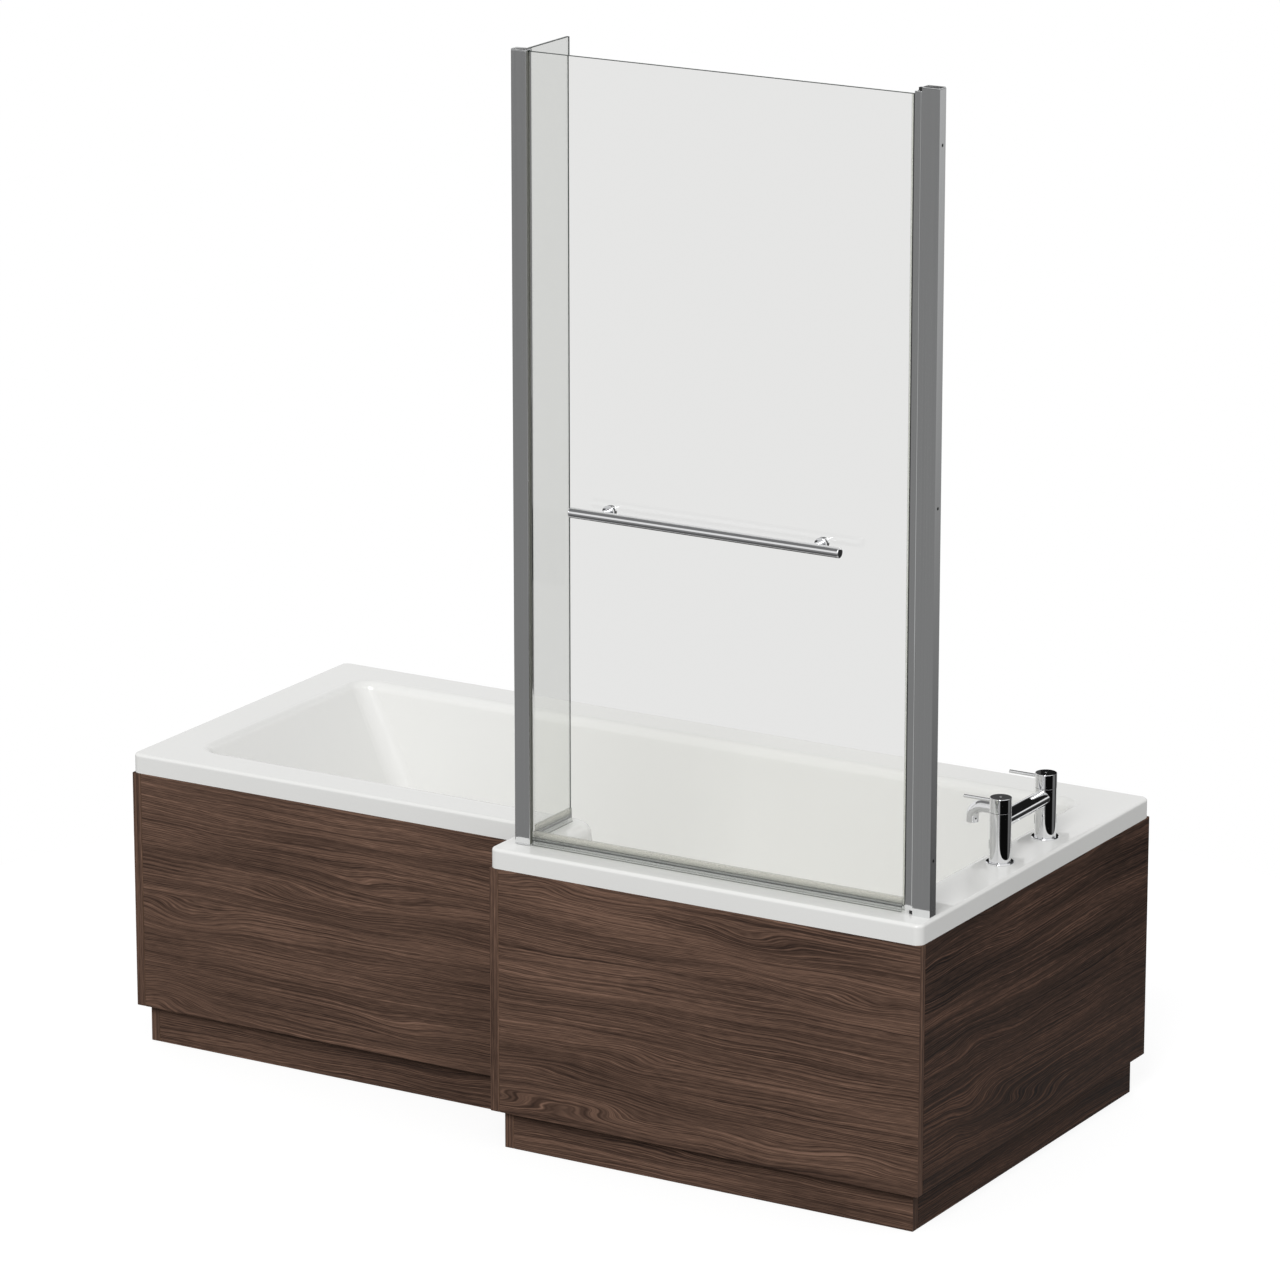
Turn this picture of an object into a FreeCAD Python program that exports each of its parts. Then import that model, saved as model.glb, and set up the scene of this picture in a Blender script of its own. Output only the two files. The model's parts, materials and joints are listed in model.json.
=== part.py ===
import FreeCAD, Part
import math
import os
import Sketcher
from types import SimpleNamespace

# L-shaped shower bath with boarded panels, hinged glass screen and bridge bath filler.
# Millimetres. +X runs from the head end to the tap end, +Y to the back wall, +Z up.
# The origin is on the floor, at the middle of the bath's length and of its wide end.

SIZES = {
    # tub: outline, rim and moulded well
    "bath_length": 1700.0,
    "wide_width": 850.0,
    "narrow_width": 700.0,
    "wide_length": 845.0,
    "rim_height": 550.0,
    "rim_face": 36.0,
    "rim_corner_radius": 15.0,
    "rim_edge_radius": 6.0,
    "shell_wall": 6.0,
    "well_depth": 400.0,
    "head_deck": 92.0,
    "tap_deck": 100.0,
    "back_deck": 90.0,
    "front_deck": 88.0,
    "step_deck": 80.0,
    "wide_front_deck": 130.0,
    "head_slope": 220.0,
    "tap_slope": 50.0,
    "side_slope": 45.0,
    "well_corner_radius": 32.0,
    "floor_corner_radius": 45.0,
    "step_corner_radius": 45.0,
    "roll_radius": 20.0,
    "floor_radius": 50.0,
    # boards: panels, plinths and timber rails under the rim
    "board": 18.0,
    "plinth_height": 70.0,
    "plinth_lap": 40.0,
    "rail_width": 40.0,
    "rail_thickness": 18.0,
    "rail_end_gap": 60.0,
    "rail_edge_gap": 10.0,
    # cradle: base board, cross bars and adjustable feet
    "base_board_thickness": 18.0,
    "base_board_inset": 50.0,
    "base_board_corner": 25.0,
    "base_board_hole": 48.0,
    "bar_width": 40.0,
    "bar_depth": 30.0,
    "bar_metal": 2.5,
    "head_bar_place": 430.0,
    "middle_bar_gap": 95.0,
    "tap_bar_gap": 145.0,
    "foot_inset": 6.0,
    "bar_overhang": 20.0,
    "stud_radius": 5.0,
    "stud_rise": 6.0,
    "nut_flats": 17.0,
    "nut_height": 8.0,
    "foot_radius": 25.0,
    "foot_height": 22.0,
    "foot_edge": 6.0,
    "foot_neck": 9.0,
    "foot_floor": 8.0,
    "bracket_place": 380.0,
    "bracket_width": 40.0,
    "bracket_metal": 2.0,
    "bracket_drop": 50.0,
    "bracket_hole": 3.25,
    # waste, overflow and trap
    "waste_from_end": 265.0,
    "waste_hole": 26.0,
    "waste_flange": 35.0,
    "waste_flange_thickness": 3.0,
    "waste_tube": 22.0,
    "waste_bore": 18.0,
    "waste_tube_length": 44.0,
    "hub_radius": 9.0,
    "hub_height": 12.0,
    "hub_arm": 4.0,
    "seal_ring": 36.0,
    "seal_ring_thickness": 5.0,
    "bowl_radius": 30.0,
    "bowl_wall": 5.0,
    "bowl_depth": 46.0,
    "inlet_drop": 44.0,
    "inlet_radius": 16.0,
    "inlet_reach": 55.0,
    "socket_depth": 20.0,
    "waste_tail": 20.0,
    "waste_tail_bore": 16.0,
    "waste_tail_length": 20.0,
    "plug_radius": 30.0,
    "plug_stem": 5.0,
    "plug_stem_length": 38.0,
    "plug_thickness": 6.5,
    "plug_edge": 2.0,
    "plug_edge_radius": 1.5,
    "plug_flat": 15.0,
    "overflow_drop": 70.0,
    "overflow_hole": 22.0,
    "overflow_face": 34.0,
    "overflow_slot": 5.0,
    "overflow_cap": 7.0,
    "overflow_cap_radius": 4.2,
    "overflow_screw": 4.0,
    "overflow_flange": 32.0,
    "overflow_tube": 20.5,
    "overflow_tube_bore": 18.0,
    "elbow_wall": 4.0,
    "overflow_depth": 44.0,
    "overflow_stub": 60.0,
    "overflow_pipe": 13.0,
    "overflow_bore": 11.0,
    "pipe_stand_off": 28.0,
    "pipe_bend": 45.0,
    "trap_bowl": 40.0,
    "trap_wall": 4.0,
    "trap_bottom": 14.0,
    "trap_collar": 25.0,
    "trap_outlet": 20.0,
    "trap_root": 21.5,
    "trap_root_start": 30.0,
    "trap_spigot": 60.0,
    "trap_outlet_bore": 17.5,
    "trap_outlet_height": 38.5,
    "trap_reach": 150.0,
    # bridge bath filler
    "tap_inset": 50.0,
    "tap_spacing": 168.0,
    "tap_offset": 34.5,
    "pillar_radius": 19.0,
    "pillar_height": 91.0,
    "handle_height": 25.5,
    "handle_gap": 0.5,
    "handle_edge": 1.0,
    "escutcheon_radius": 25.0,
    "escutcheon_thickness": 3.5,
    "tail_radius": 13.0,
    "tail_bore": 9.0,
    "tail_length": 60.0,
    "tail_thread": 38.0,
    "tail_groove": 3.0,
    "tail_groove_depth": 0.75,
    "tail_hole_clearance": 1.0,
    "tail_socket": 8.0,
    "back_nut_flats": 32.0,
    "back_nut_height": 10.0,
    "bridge_radius": 14.5,
    "bridge_bore": 12.0,
    "bridge_rise": 74.0,
    "spout_radius": 11.0,
    "spout_bore": 9.0,
    "spout_drop": 8.0,
    "spout_reach": 98.0,
    "spout_bend": 21.0,
    "spout_fall": 7.0,
    "aerator_lip": 2.0,
    "aerator_bore": 6.0,
    "lever_radius": 3.0,
    "lever_length": 52.0,
    "lever_rise": 17.0,
    "lever_seat": 10.0,
    "lever_end_radius": 1.0,
    "spindle_radius": 4.0,
    "spindle_grip": 19.0,
    "spindle_depth": 24.0,
    "cartridge_radius": 14.0,
    "cartridge_length": 44.0,
    "cartridge_neck": 9.0,
    "cartridge_neck_length": 8.0,
    "pillar_recess": 2.0,
    # hinged screen
    "screen_inset": 52.0,
    "screen_height": 1400.0,
    "wall_gap": 6.0,
    "channel_width": 33.0,
    "channel_depth": 21.0,
    "channel_wall": 2.0,
    "channel_hole": 2.75,
    "channel_hole_spacing": 604.0,
    "cap_thickness": 2.0,
    "profile_wall": 1.5,
    "screw_head_room": 6.0,
    "hinge_gap": 6.0,
    "hinge_radius": 5.5,
    "hinge_grip": 10.0,
    "hinge_pin": 2.5,
    "hinge_pin_length": 12.0,
    "hinge_slot_wall": 1.6,
    "hinge_nose": 5.0,
    "plate_nose": 4.7,
    "plate_corner": 4.2,
    "plate_gap": 0.8,
    "hinge_plate": 5.0,
    "glass": 6.0,
    "glass_top_gap": 14.0,
    "gasket": 0.9,
    "gasket_reach": 6.0,
    "return_depth": 150.0,
    "post_width": 31.0,
    "post_depth": 20.0,
    "post_round": 3.0,
    "post_corner": 1.5,
    "post_slot": 5.5,
    "post_from_step": 41.5,
    "seal_height": 25.0,
    "seal_grip": 12.0,
    "seal_wall": 1.5,
    "seal_web": 3.0,
    "seal_fin": 1.2,
    "seal_spread": 6.5,
    "rail_tube_radius": 9.0,
    "rail_tube_bore": 7.8,
    "rail_stand_off": 35.0,
    "rail_rise": 614.0,
    "rail_length": 517.0,
    "rail_post_spacing": 410.0,
    "rail_from_hinge": 382.0,
    "rail_cap": 2.0,
    "rail_cap_plug": 6.0,
    "rail_cap_radius": 1.0,
    "rail_collar": 11.0,
    "rail_neck": 6.0,
    "rail_collar_thickness": 4.0,
    "rail_collar_cone": 2.0,
    "rail_bolt": 3.0,
    "rail_bolt_depth": 16.0,
    "rail_bolt_head": 5.0,
    "rail_bolt_round": 1.25,
    "glass_hole": 6.0,
    # clearances
    "seat_clearance": 0.2,
    "running_clearance": 0.05,
    "seal_clearance": 0.8,
}


class Size:
    """A length, with the sheet expression that gives it."""

    def __init__(self, value, text):
        self.value = value
        self.text = text

    def __add__(self, other):
        other = as_size(other)
        return Size(self.value + other.value, f"({self.text} + {other.text})")

    def __sub__(self, other):
        other = as_size(other)
        return Size(self.value - other.value, f"({self.text} - {other.text})")

    def __mul__(self, other):
        other = as_size(other)
        return Size(self.value * other.value, f"({self.text} * {other.text})")

    def __truediv__(self, other):
        other = as_size(other)
        return Size(self.value / other.value, f"({self.text} / {other.text})")

    def at_most(self, other):
        other = as_size(other)
        return Size(min(self.value, other.value), f"min({self.text}; {other.text})")

    def __radd__(self, other):
        return as_size(other) + self

    def __rsub__(self, other):
        return as_size(other) - self

    def __rmul__(self, other):
        return as_size(other) * self

    def __neg__(self):
        return 0 - self


def as_size(number):
    if isinstance(number, Size):
        return number
    return Size(float(number), repr(float(number)))


Vector = FreeCAD.Vector
doc = FreeCAD.newDocument("shower_bath")
sheet = doc.addObject("Spreadsheet::Sheet", "sizes")
for row, (name, number) in enumerate(SIZES.items(), 1):
    sheet.set(f"A{row}", name)
    sheet.set(f"B{row}", str(number))
    sheet.setAlias(f"B{row}", name)
doc.recompute()
d = SimpleNamespace(**{name: Size(sheet.get(name), f"sizes.{name}") for name in SIZES})
nodes = []


# Helpers: each makes one kind of object, with its sizes bound to the sheet.

TURNS = {
    "z": FreeCAD.Rotation(),
    "x": FreeCAD.Rotation(Vector(0, 1, 0), 90),
    "-x": FreeCAD.Rotation(Vector(0, 1, 0), -90),
    "y": FreeCAD.Rotation(Vector(1, 0, 0), -90),
    "-y": FreeCAD.Rotation(Vector(1, 0, 0), 90),
}


def bind(thing, path, size):
    thing.setExpression(path, as_size(size).text)


def place(thing, spot, axis="z"):
    """Puts a thing's own origin at the spot, with its own Z along the axis."""
    numbers = [as_size(number).value for number in spot]
    thing.Placement = FreeCAD.Placement(Vector(*numbers), TURNS[axis])
    for letter, number in zip("xyz", spot):
        bind(thing, f"Placement.Base.{letter}", number)


def node(thing, label):
    thing.Label = label
    nodes.append(thing)
    return thing


def block(name, low, high):
    thing = doc.addObject("Part::Box", name)
    for side, start, end in zip(("Length", "Width", "Height"), low, high):
        bind(thing, side, as_size(end) - start)
    place(thing, low)
    return thing


def rod(name, radius, spot, length, axis="z"):
    thing = doc.addObject("Part::Cylinder", name)
    bind(thing, "Radius", radius)
    bind(thing, "Height", length)
    place(thing, spot, axis)
    return thing


def cut(name, base, *tools):
    for count, tool in enumerate(tools, 1):
        thing = doc.addObject("Part::Cut", f"{name}_cut{count}")
        thing.Base = base
        thing.Tool = tool
        base = thing
    return base


def fuse(name, *things):
    thing = doc.addObject("Part::MultiFuse", f"{name}_fuse")
    thing.Shapes = things
    return thing


def group(name, things):
    thing = doc.addObject("Part::Compound", name)
    thing.Links = things
    return thing


def new_body(name):
    return doc.addObject("PartDesign::Body", name)


def new_sketch(body, plane, start=0):
    """A sketch on one of the body's own planes, start along that plane's positive axis."""
    sketch = body.newObject("Sketcher::SketchObject", f"{body.Name}_sketch")
    support = [thing for thing in body.Origin.OriginFeatures if thing.Role == plane]
    sketch.AttachmentSupport = [(support[0], "")]
    sketch.MapMode = "FlatFace"
    bind(sketch, "AttachmentOffset.Base.z", -as_size(start) if plane == "XZ_Plane" else start)
    return sketch


def pin_point(sketch, element, point, spot):
    """Holds one point of a sketch element at the spot."""
    for kind, number in zip(("DistanceX", "DistanceY"), spot):
        size = as_size(number)
        index = sketch.addConstraint(Sketcher.Constraint(kind, -1, 1, element, point, size.value))
        bind(sketch, f"Constraints[{index}]", size)


def add_circle(sketch, x, y, radius):
    centre = Vector(as_size(x).value, as_size(y).value, 0)
    ring = sketch.addGeometry(Part.Circle(centre, Vector(0, 0, 1), as_size(radius).value))
    pin_point(sketch, ring, 3, (x, y))
    index = sketch.addConstraint(Sketcher.Constraint("Radius", ring, as_size(radius).value))
    bind(sketch, f"Constraints[{index}]", radius)


def add_outline(sketch, corners, closed=True):
    """Lines through the corners. A corner's third value is the radius that rounds it."""
    count = len(corners)
    spots = [Vector(as_size(c[0]).value, as_size(c[1]).value, 0) for c in corners]
    starts = list(spots)
    ends = list(spots)
    arcs = {}
    for i, corner in enumerate(corners):
        if len(corner) < 3:
            continue
        radius = as_size(corner[2]).value
        back = (spots[i - 1] - spots[i]).normalize()
        ahead = (spots[(i + 1) % count] - spots[i]).normalize()
        half = back.getAngle(ahead) / 2
        starts[i] = spots[i] + back * (radius / math.tan(half))
        ends[i] = spots[i] + ahead * (radius / math.tan(half))
        centre = spots[i] + (back + ahead).normalize() * (radius / math.sin(half))
        left_turn = back.cross(ahead).z < 0
        first, last = (starts[i], ends[i]) if left_turn else (ends[i], starts[i])
        angles = [math.atan2(p.y - centre.y, p.x - centre.x) for p in (first, last)]
        if angles[1] < angles[0]:
            angles[1] += 2 * math.pi
        ring = Part.Circle(centre, Vector(0, 0, 1), radius)
        arcs[i] = (Part.ArcOfCircle(ring, *angles), left_turn)
    sides = count if closed else count - 1
    lines = []
    for i in range(sides):
        segment = Part.LineSegment(ends[i], starts[(i + 1) % count])
        lines.append(sketch.addGeometry(segment))
    if not closed:
        pin_point(sketch, lines[0], 1, corners[0][:2])
        pin_point(sketch, lines[-1], 2, corners[-1][:2])
    for i in range(count) if closed else range(1, count - 1):
        before = lines[i - 1]
        after = lines[i]
        if i not in arcs:
            sketch.addConstraint(Sketcher.Constraint("Coincident", before, 2, after, 1))
            pin_point(sketch, after, 1, corners[i][:2])
            continue
        shape, left_turn = arcs[i]
        arc = sketch.addGeometry(shape)
        near, far = (1, 2) if left_turn else (2, 1)
        tip = sketch.addGeometry(Part.Point(spots[i]), True)
        sketch.addConstraint(
            [
                Sketcher.Constraint("Tangent", before, 2, arc, near),
                Sketcher.Constraint("Tangent", arc, far, after, 1),
                Sketcher.Constraint("PointOnObject", tip, 1, before),
                Sketcher.Constraint("PointOnObject", tip, 1, after),
            ]
        )
        pin_point(sketch, tip, 1, corners[i][:2])
        radius = as_size(corners[i][2])
        index = sketch.addConstraint(Sketcher.Constraint("Radius", arc, radius.value))
        bind(sketch, f"Constraints[{index}]", radius)


def extrude(name, plane, start, end, outline, holes=()):
    """A profile drawn on a plane and padded from start to end along that plane's axis."""
    body = new_body(name)
    sketch = new_sketch(body, plane, start)
    add_outline(sketch, outline)
    for hole in holes:
        if isinstance(hole, list):
            add_outline(sketch, hole)
        else:
            add_circle(sketch, *hole)
    pad = body.newObject("PartDesign::Pad", f"{name}_pad")
    pad.Profile = sketch
    bind(pad, "Length", as_size(end) - start)
    pad.Reversed = plane == "XZ_Plane"
    return body


def turn(name, profile, spot, axis="z"):
    """A profile of (radius, height) corners turned about the axis through the spot."""
    body = new_body(name)
    sketch = new_sketch(body, "XZ_Plane")
    add_outline(sketch, profile)
    revolution = body.newObject("PartDesign::Revolution", f"{name}_turn")
    revolution.Profile = sketch
    revolution.ReferenceAxis = (sketch, ["V_Axis"])
    revolution.Angle = 360
    place(body, spot, axis)
    return body


def pipe(name, path, across, radius, bore):
    """A tube along a path of (x, z) corners in the plane where Y is across."""
    body = new_body(name)
    spine = new_sketch(body, "XZ_Plane", across)
    add_outline(spine, path, closed=False)
    x, z = path[0][:2]
    if z.value == path[1][1].value:
        profile = new_sketch(body, "YZ_Plane", x)
        centre = (across, z)
    else:
        profile = new_sketch(body, "XY_Plane", z)
        centre = (x, across)
    add_circle(profile, *centre, radius)
    add_circle(profile, *centre, bore)
    tube = body.newObject("PartDesign::AdditivePipe", f"{name}_tube")
    tube.Profile = profile
    tube.Spine = (spine, [f"Edge{i + 1}" for i in range(2 * len(path) - 3)])
    return body


def flat_edges(shape, height, inner):
    """Names of the edges round the widest flat face at a height: its outer or its inner loop."""
    level = [
        face
        for face in shape.Faces
        if all(abs(corner.Z - height) < 1e-4 for corner in face.Vertexes)
    ]
    face = max(level, key=lambda one: one.Area)
    loops = [w for w in face.Wires if w.isSame(face.OuterWire) != inner]
    wanted = [edge for loop in loops for edge in loop.Edges]
    names = []
    for count, edge in enumerate(shape.Edges, 1):
        if any(edge.isSame(other) for other in wanted):
            names.append(f"Edge{count}")
    return names


def round_edges(body, name, base, height, inner, radius):
    doc.recompute()
    thing = body.newObject("PartDesign::Fillet", name)
    thing.Base = (base, flat_edges(base.Shape, as_size(height).value, inner))
    bind(thing, "Radius", radius)
    doc.recompute()
    return thing


# Places that the pieces share.

right = d.bath_length / 2
left = -right
back = d.wide_width / 2
wide_front = -back
front = back - d.narrow_width
step = right - d.wide_length
rim = d.rim_height
rim_bottom = rim - d.rim_face
deck_bottom = rim - d.shell_wall
floor_top = rim - d.well_depth
floor_bottom = floor_top - d.shell_wall
well = SimpleNamespace(
    left=left + d.head_deck,
    right=right - d.tap_deck,
    back=back - d.back_deck,
    front=front + d.front_deck,
    step=step + d.step_deck,
    wide_front=wide_front + d.wide_front_deck,
)
floor = SimpleNamespace(
    left=well.left + d.head_slope,
    right=well.right - d.tap_slope,
    back=well.back - d.side_slope,
    front=well.front + d.side_slope,
    step=well.step + d.side_slope,
    wide_front=well.wide_front + d.side_slope,
)
tap_x = right - d.tap_inset
tap_y = d.tap_offset
tap_ends = (tap_y - d.tap_spacing / 2, tap_y + d.tap_spacing / 2)
waste_x = right - d.waste_from_end
waste_y = tap_y
step_room = (well.front - well.wide_front) * 0.45


def l_outline(edges, radius, step_radius, grow=0):
    """The L, from its head-end front corner round to the head-end back corner. The two corners
    of the short step side are rounded by no more than that side has room for."""
    side = (edges.front - edges.wide_front) * 0.49
    return [
        (edges.left - grow, edges.front - grow, radius + grow),
        (edges.step - grow, edges.front - grow, step_radius.at_most(side) - grow),
        (edges.step - grow, edges.wide_front - grow, radius.at_most(side) + grow),
        (edges.right + grow, edges.wide_front - grow, radius + grow),
        (edges.right + grow, edges.back + grow, radius + grow),
        (edges.left - grow, edges.back + grow, radius + grow),
    ]


# Bath shell: one acrylic moulding. A turned-down rim round an L-shaped deck, and a well whose
# ruled walls lean from a small-cornered mouth to a softer floor, with rolled top and floor edges.

rim_edges = SimpleNamespace(
    left=left, right=right, back=back, front=front, step=step, wide_front=wide_front
)
shell = new_body("bath_shell")
rim_sketch = new_sketch(shell, "XY_Plane", rim_bottom)
add_outline(rim_sketch, l_outline(rim_edges, d.rim_corner_radius, d.rim_corner_radius))
rim_block = shell.newObject("PartDesign::Pad", "rim_block")
rim_block.Profile = rim_sketch
bind(rim_block, "Length", d.rim_face)
rim_round = round_edges(shell, "rim_round", rim_block, rim, False, d.rim_edge_radius)

hollow_sketch = new_sketch(shell, "XY_Plane", deck_bottom)
hollow_radius = d.rim_corner_radius + d.shell_wall
add_outline(
    hollow_sketch, l_outline(rim_edges, hollow_radius, d.rim_corner_radius - d.shell_wall, -d.shell_wall)
)
rim_hollow = shell.newObject("PartDesign::Pocket", "rim_hollow")
rim_hollow.Profile = hollow_sketch
bind(rim_hollow, "Length", d.rim_face)


floor_round = d.floor_radius.at_most(step_room)


def well_form(body, name, grow, floor_height):
    """The well's form from its mouth to its floor, moved out by grow, with a rounded floor edge."""
    mouth = new_sketch(body, "XY_Plane", rim)
    add_outline(mouth, l_outline(well, d.well_corner_radius, d.step_corner_radius, grow))
    bottom = new_sketch(body, "XY_Plane", floor_height)
    add_outline(bottom, l_outline(floor, d.floor_corner_radius, d.step_corner_radius, grow))
    loft = body.newObject("PartDesign::AdditiveLoft", name)
    loft.Profile = mouth
    loft.Sections = [bottom]
    loft.Ruled = True
    return round_edges(body, f"{name}_round", loft, floor_height, False, floor_round + grow)


well_form(shell, "outer_well", d.shell_wall, floor_bottom)
cavity = new_body("well_cavity")
well_form(cavity, "inner_well", as_size(0), floor_top)
well_cut = shell.newObject("PartDesign::Boolean", "well_cut")
well_cut.setObjects([cavity])
well_cut.Type = "Cut"
round_edges(shell, "mouth_roll", well_cut, rim, True, d.roll_radius.at_most(step_room))

# tap holes through the deck and the waste hole through the floor, then the overflow hole
hole_sketch = new_sketch(shell, "XY_Plane", rim)
for end in tap_ends:
    add_circle(hole_sketch, tap_x, end, d.tail_radius + d.tail_hole_clearance)
add_circle(hole_sketch, waste_x, waste_y, d.waste_hole)
holes = shell.newObject("PartDesign::Pocket", "tap_and_waste_holes")
holes.Profile = hole_sketch
bind(holes, "Length", d.well_depth + d.floor_radius)
overflow_z = rim - d.overflow_drop
overflow_x = well.right - d.tap_slope * d.overflow_drop / d.well_depth
overflow_sketch = new_sketch(shell, "YZ_Plane", overflow_x - d.overflow_face)
add_circle(overflow_sketch, waste_y, overflow_z, d.overflow_hole)
overflow_cut = shell.newObject("PartDesign::Pocket", "overflow_cut")
overflow_cut.Profile = overflow_sketch
overflow_cut.Reversed = True
bind(overflow_cut, "Length", d.overflow_face * 2)
node(shell, "bath_shell")


# Cradle: a base board bonded under the floor, three steel cross bars below it, and a foot on a
# threaded stud near each end of each bar, held by a nut on both sides of the bar.

flat = SimpleNamespace(
    left=floor.left + d.base_board_inset,
    right=floor.right - d.base_board_inset,
    back=floor.back - d.base_board_inset,
    front=floor.front + d.base_board_inset,
    step=floor.step + d.base_board_inset,
    wide_front=floor.wide_front + d.base_board_inset,
)
bar_top = floor_bottom - d.base_board_thickness
bar_bottom = bar_top - d.bar_depth
base_outline = l_outline(flat, d.base_board_corner, d.base_board_corner)
base_hole = (waste_x, waste_y, d.base_board_hole)
node(extrude("base_board", "XY_Plane", bar_top, floor_bottom, base_outline, [base_hole]), "base_board")


def cross_bar(name, x, studs):
    """An upside-down channel across the bath, with a hole for each stud through its web."""
    half = d.bar_width / 2
    metal = d.bar_metal
    section = [
        (x - half, bar_bottom),
        (x + half, bar_bottom),
        (x + half, bar_top),
        (x - half, bar_top),
    ]
    channel = extrude(name, "XZ_Plane", studs[0] - d.bar_overhang, studs[1] + d.bar_overhang, section)
    low = (x - half + metal, studs[0] - d.bar_overhang, bar_bottom)
    high = (x + half - metal, studs[1] + d.bar_overhang, bar_top - metal)
    tools = [block(f"{name}_inside", low, high)]
    for y in studs:
        tools.append(rod(f"{name}_hole", d.stud_radius + d.seat_clearance, (x, y, bar_bottom), d.bar_depth))
    return cut(name, channel, *tools)


def hex_nut(name, flats, height, bore, spot):
    nut = doc.addObject("Part::Prism", name)
    nut.Polygon = 6
    bind(nut, "Circumradius", flats / math.sqrt(3))
    bind(nut, "Height", height)
    place(nut, spot)
    return cut(name, nut, rod(f"{name}_bore", bore + d.running_clearance, spot, height))


back_stud = floor.back - d.foot_inset
narrow_studs = (floor.front + d.foot_inset, back_stud)
wide_studs = (floor.wide_front + d.foot_inset, back_stud)
bars = []
studs = []
nuts = []
feet = []
socket = d.stud_radius + d.running_clearance
foot_profile = [
    (as_size(0), as_size(0)),
    (d.foot_radius, as_size(0)),
    (d.foot_radius, d.foot_edge),
    (d.foot_neck, d.foot_height),
    (socket, d.foot_height),
    (socket, d.foot_floor),
    (as_size(0), d.foot_floor),
]
for name, x, ends in (
    ("head_bar", left + d.head_bar_place, narrow_studs),
    ("middle_bar", step - d.middle_bar_gap, narrow_studs),
    ("tap_bar", waste_x - d.tap_bar_gap, wide_studs),
):
    bars.append(cross_bar(name, x, ends))
    for y in ends:
        length = bar_top + d.nut_height + d.stud_rise - d.foot_floor
        studs.append(rod(f"{name}_stud", d.stud_radius, (x, y, d.foot_floor), length))
        feet.append(turn(f"{name}_foot", foot_profile, (x, y, 0)))
        for z in (bar_top, bar_top - d.bar_metal - d.nut_height):
            nuts.append(hex_nut(f"{name}_nut", d.nut_flats, d.nut_height, d.stud_radius, (x, y, z)))
node(group("bars", bars), "leg_bars")
node(group("studs", studs), "leg_studs")
node(group("nuts", nuts), "leg_nuts")
node(group("feet", feet), "leg_feet")

# Timber rails bonded under the deck, which stiffen the rim and take the panels' screws, and two
# cranked steel brackets that hook the back rail to the wall.

rail_low = deck_bottom - d.rail_thickness
rail_back = back - d.rail_edge_gap
rails = [
    block(
        "back_rail",
        (left + d.rail_end_gap, rail_back - d.rail_width, rail_low),
        (right - d.rail_end_gap, rail_back, deck_bottom),
    ),
    block(
        "front_rail",
        (left + d.rail_end_gap, front + d.board, rail_low),
        (step, front + d.board + d.rail_width, deck_bottom),
    ),
    block(
        "wide_rail",
        (step + d.rail_end_gap, wide_front + d.board, rail_low),
        (right - d.rail_end_gap, wide_front + d.board + d.rail_width, deck_bottom),
    ),
    block(
        "head_rail",
        (left + d.board, front + d.rail_end_gap, rail_low),
        (left + d.board + d.rail_width, back - d.rail_end_gap, deck_bottom),
    ),
]
node(group("rails", rails), "rim_rails")


def wall_bracket(name, x):
    """A cranked strip: under the rail, down past the rim's edge, out to the wall and down it."""
    metal = d.bracket_metal
    ledge = rim_bottom - metal
    foot = ledge - d.bracket_drop
    section = [
        (rail_back - d.rail_width, rail_low),
        (rail_back, rail_low),
        (rail_back, ledge),
        (back, ledge),
        (back, foot),
        (back - metal, foot),
        (back - metal, ledge - metal),
        (rail_back - metal, ledge - metal),
        (rail_back - metal, rail_low - metal),
        (rail_back - d.rail_width, rail_low - metal),
    ]
    strip = extrude(name, "YZ_Plane", x - d.bracket_width / 2, x + d.bracket_width / 2, section)
    hole = (x, rail_back, ledge - d.bracket_drop / 2)
    return cut(name, strip, rod(f"{name}_hole", d.bracket_hole, hole, d.rail_width, "y"))


brackets = [wall_bracket("bracket_a", -d.bracket_place), wall_bracket("bracket_b", d.bracket_place)]
node(group("brackets", brackets), "wall_brackets")

# Panels and plinths: veneered boards. The panels stand flush with the rim's faces, and the
# plinths stand one board's thickness behind them all round and lap up behind the panels.

lap_top = d.plinth_height + d.plinth_lap
inner = SimpleNamespace(
    left=left + d.board,
    right=right - d.board,
    back=back - d.board,
    front=front + d.board,
    step=step + d.board,
    wide_front=wide_front + d.board,
)


def boards(names, edges, far_back, low, high):
    """Five boards round the L: head end, narrow front, step, wide front and tap end."""
    t = d.board
    spans = (
        (edges.left, edges.left + t, edges.front, far_back),
        (edges.left + t, edges.step, edges.front, edges.front + t),
        (edges.step, edges.step + t, edges.wide_front, edges.front + t),
        (edges.step + t, edges.right, edges.wide_front, edges.wide_front + t),
        (edges.right - t, edges.right, edges.wide_front + t, far_back),
    )
    for name, (x0, x1, y0, y1) in zip(names, spans):
        node(block(name, (x0, y0, low), (x1, y1, high)), name)


panel_names = (
    "left_end_panel",
    "front_panel_narrow",
    "step_panel",
    "front_panel_wide",
    "right_end_panel",
)
plinth_names = (
    "plinth_left",
    "plinth_front_narrow",
    "plinth_step",
    "plinth_front_wide",
    "plinth_right",
)
boards(panel_names, rim_edges, back, d.plinth_height, rim_bottom)
boards(plinth_names, inner, inner.back, as_size(0), lap_top)

# Waste: a flanged brass tube clamped through the floor over a rubber ring and a plastic bowl.
# The push-down plug's stem runs in a hub that two arms hold across the tube.

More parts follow.
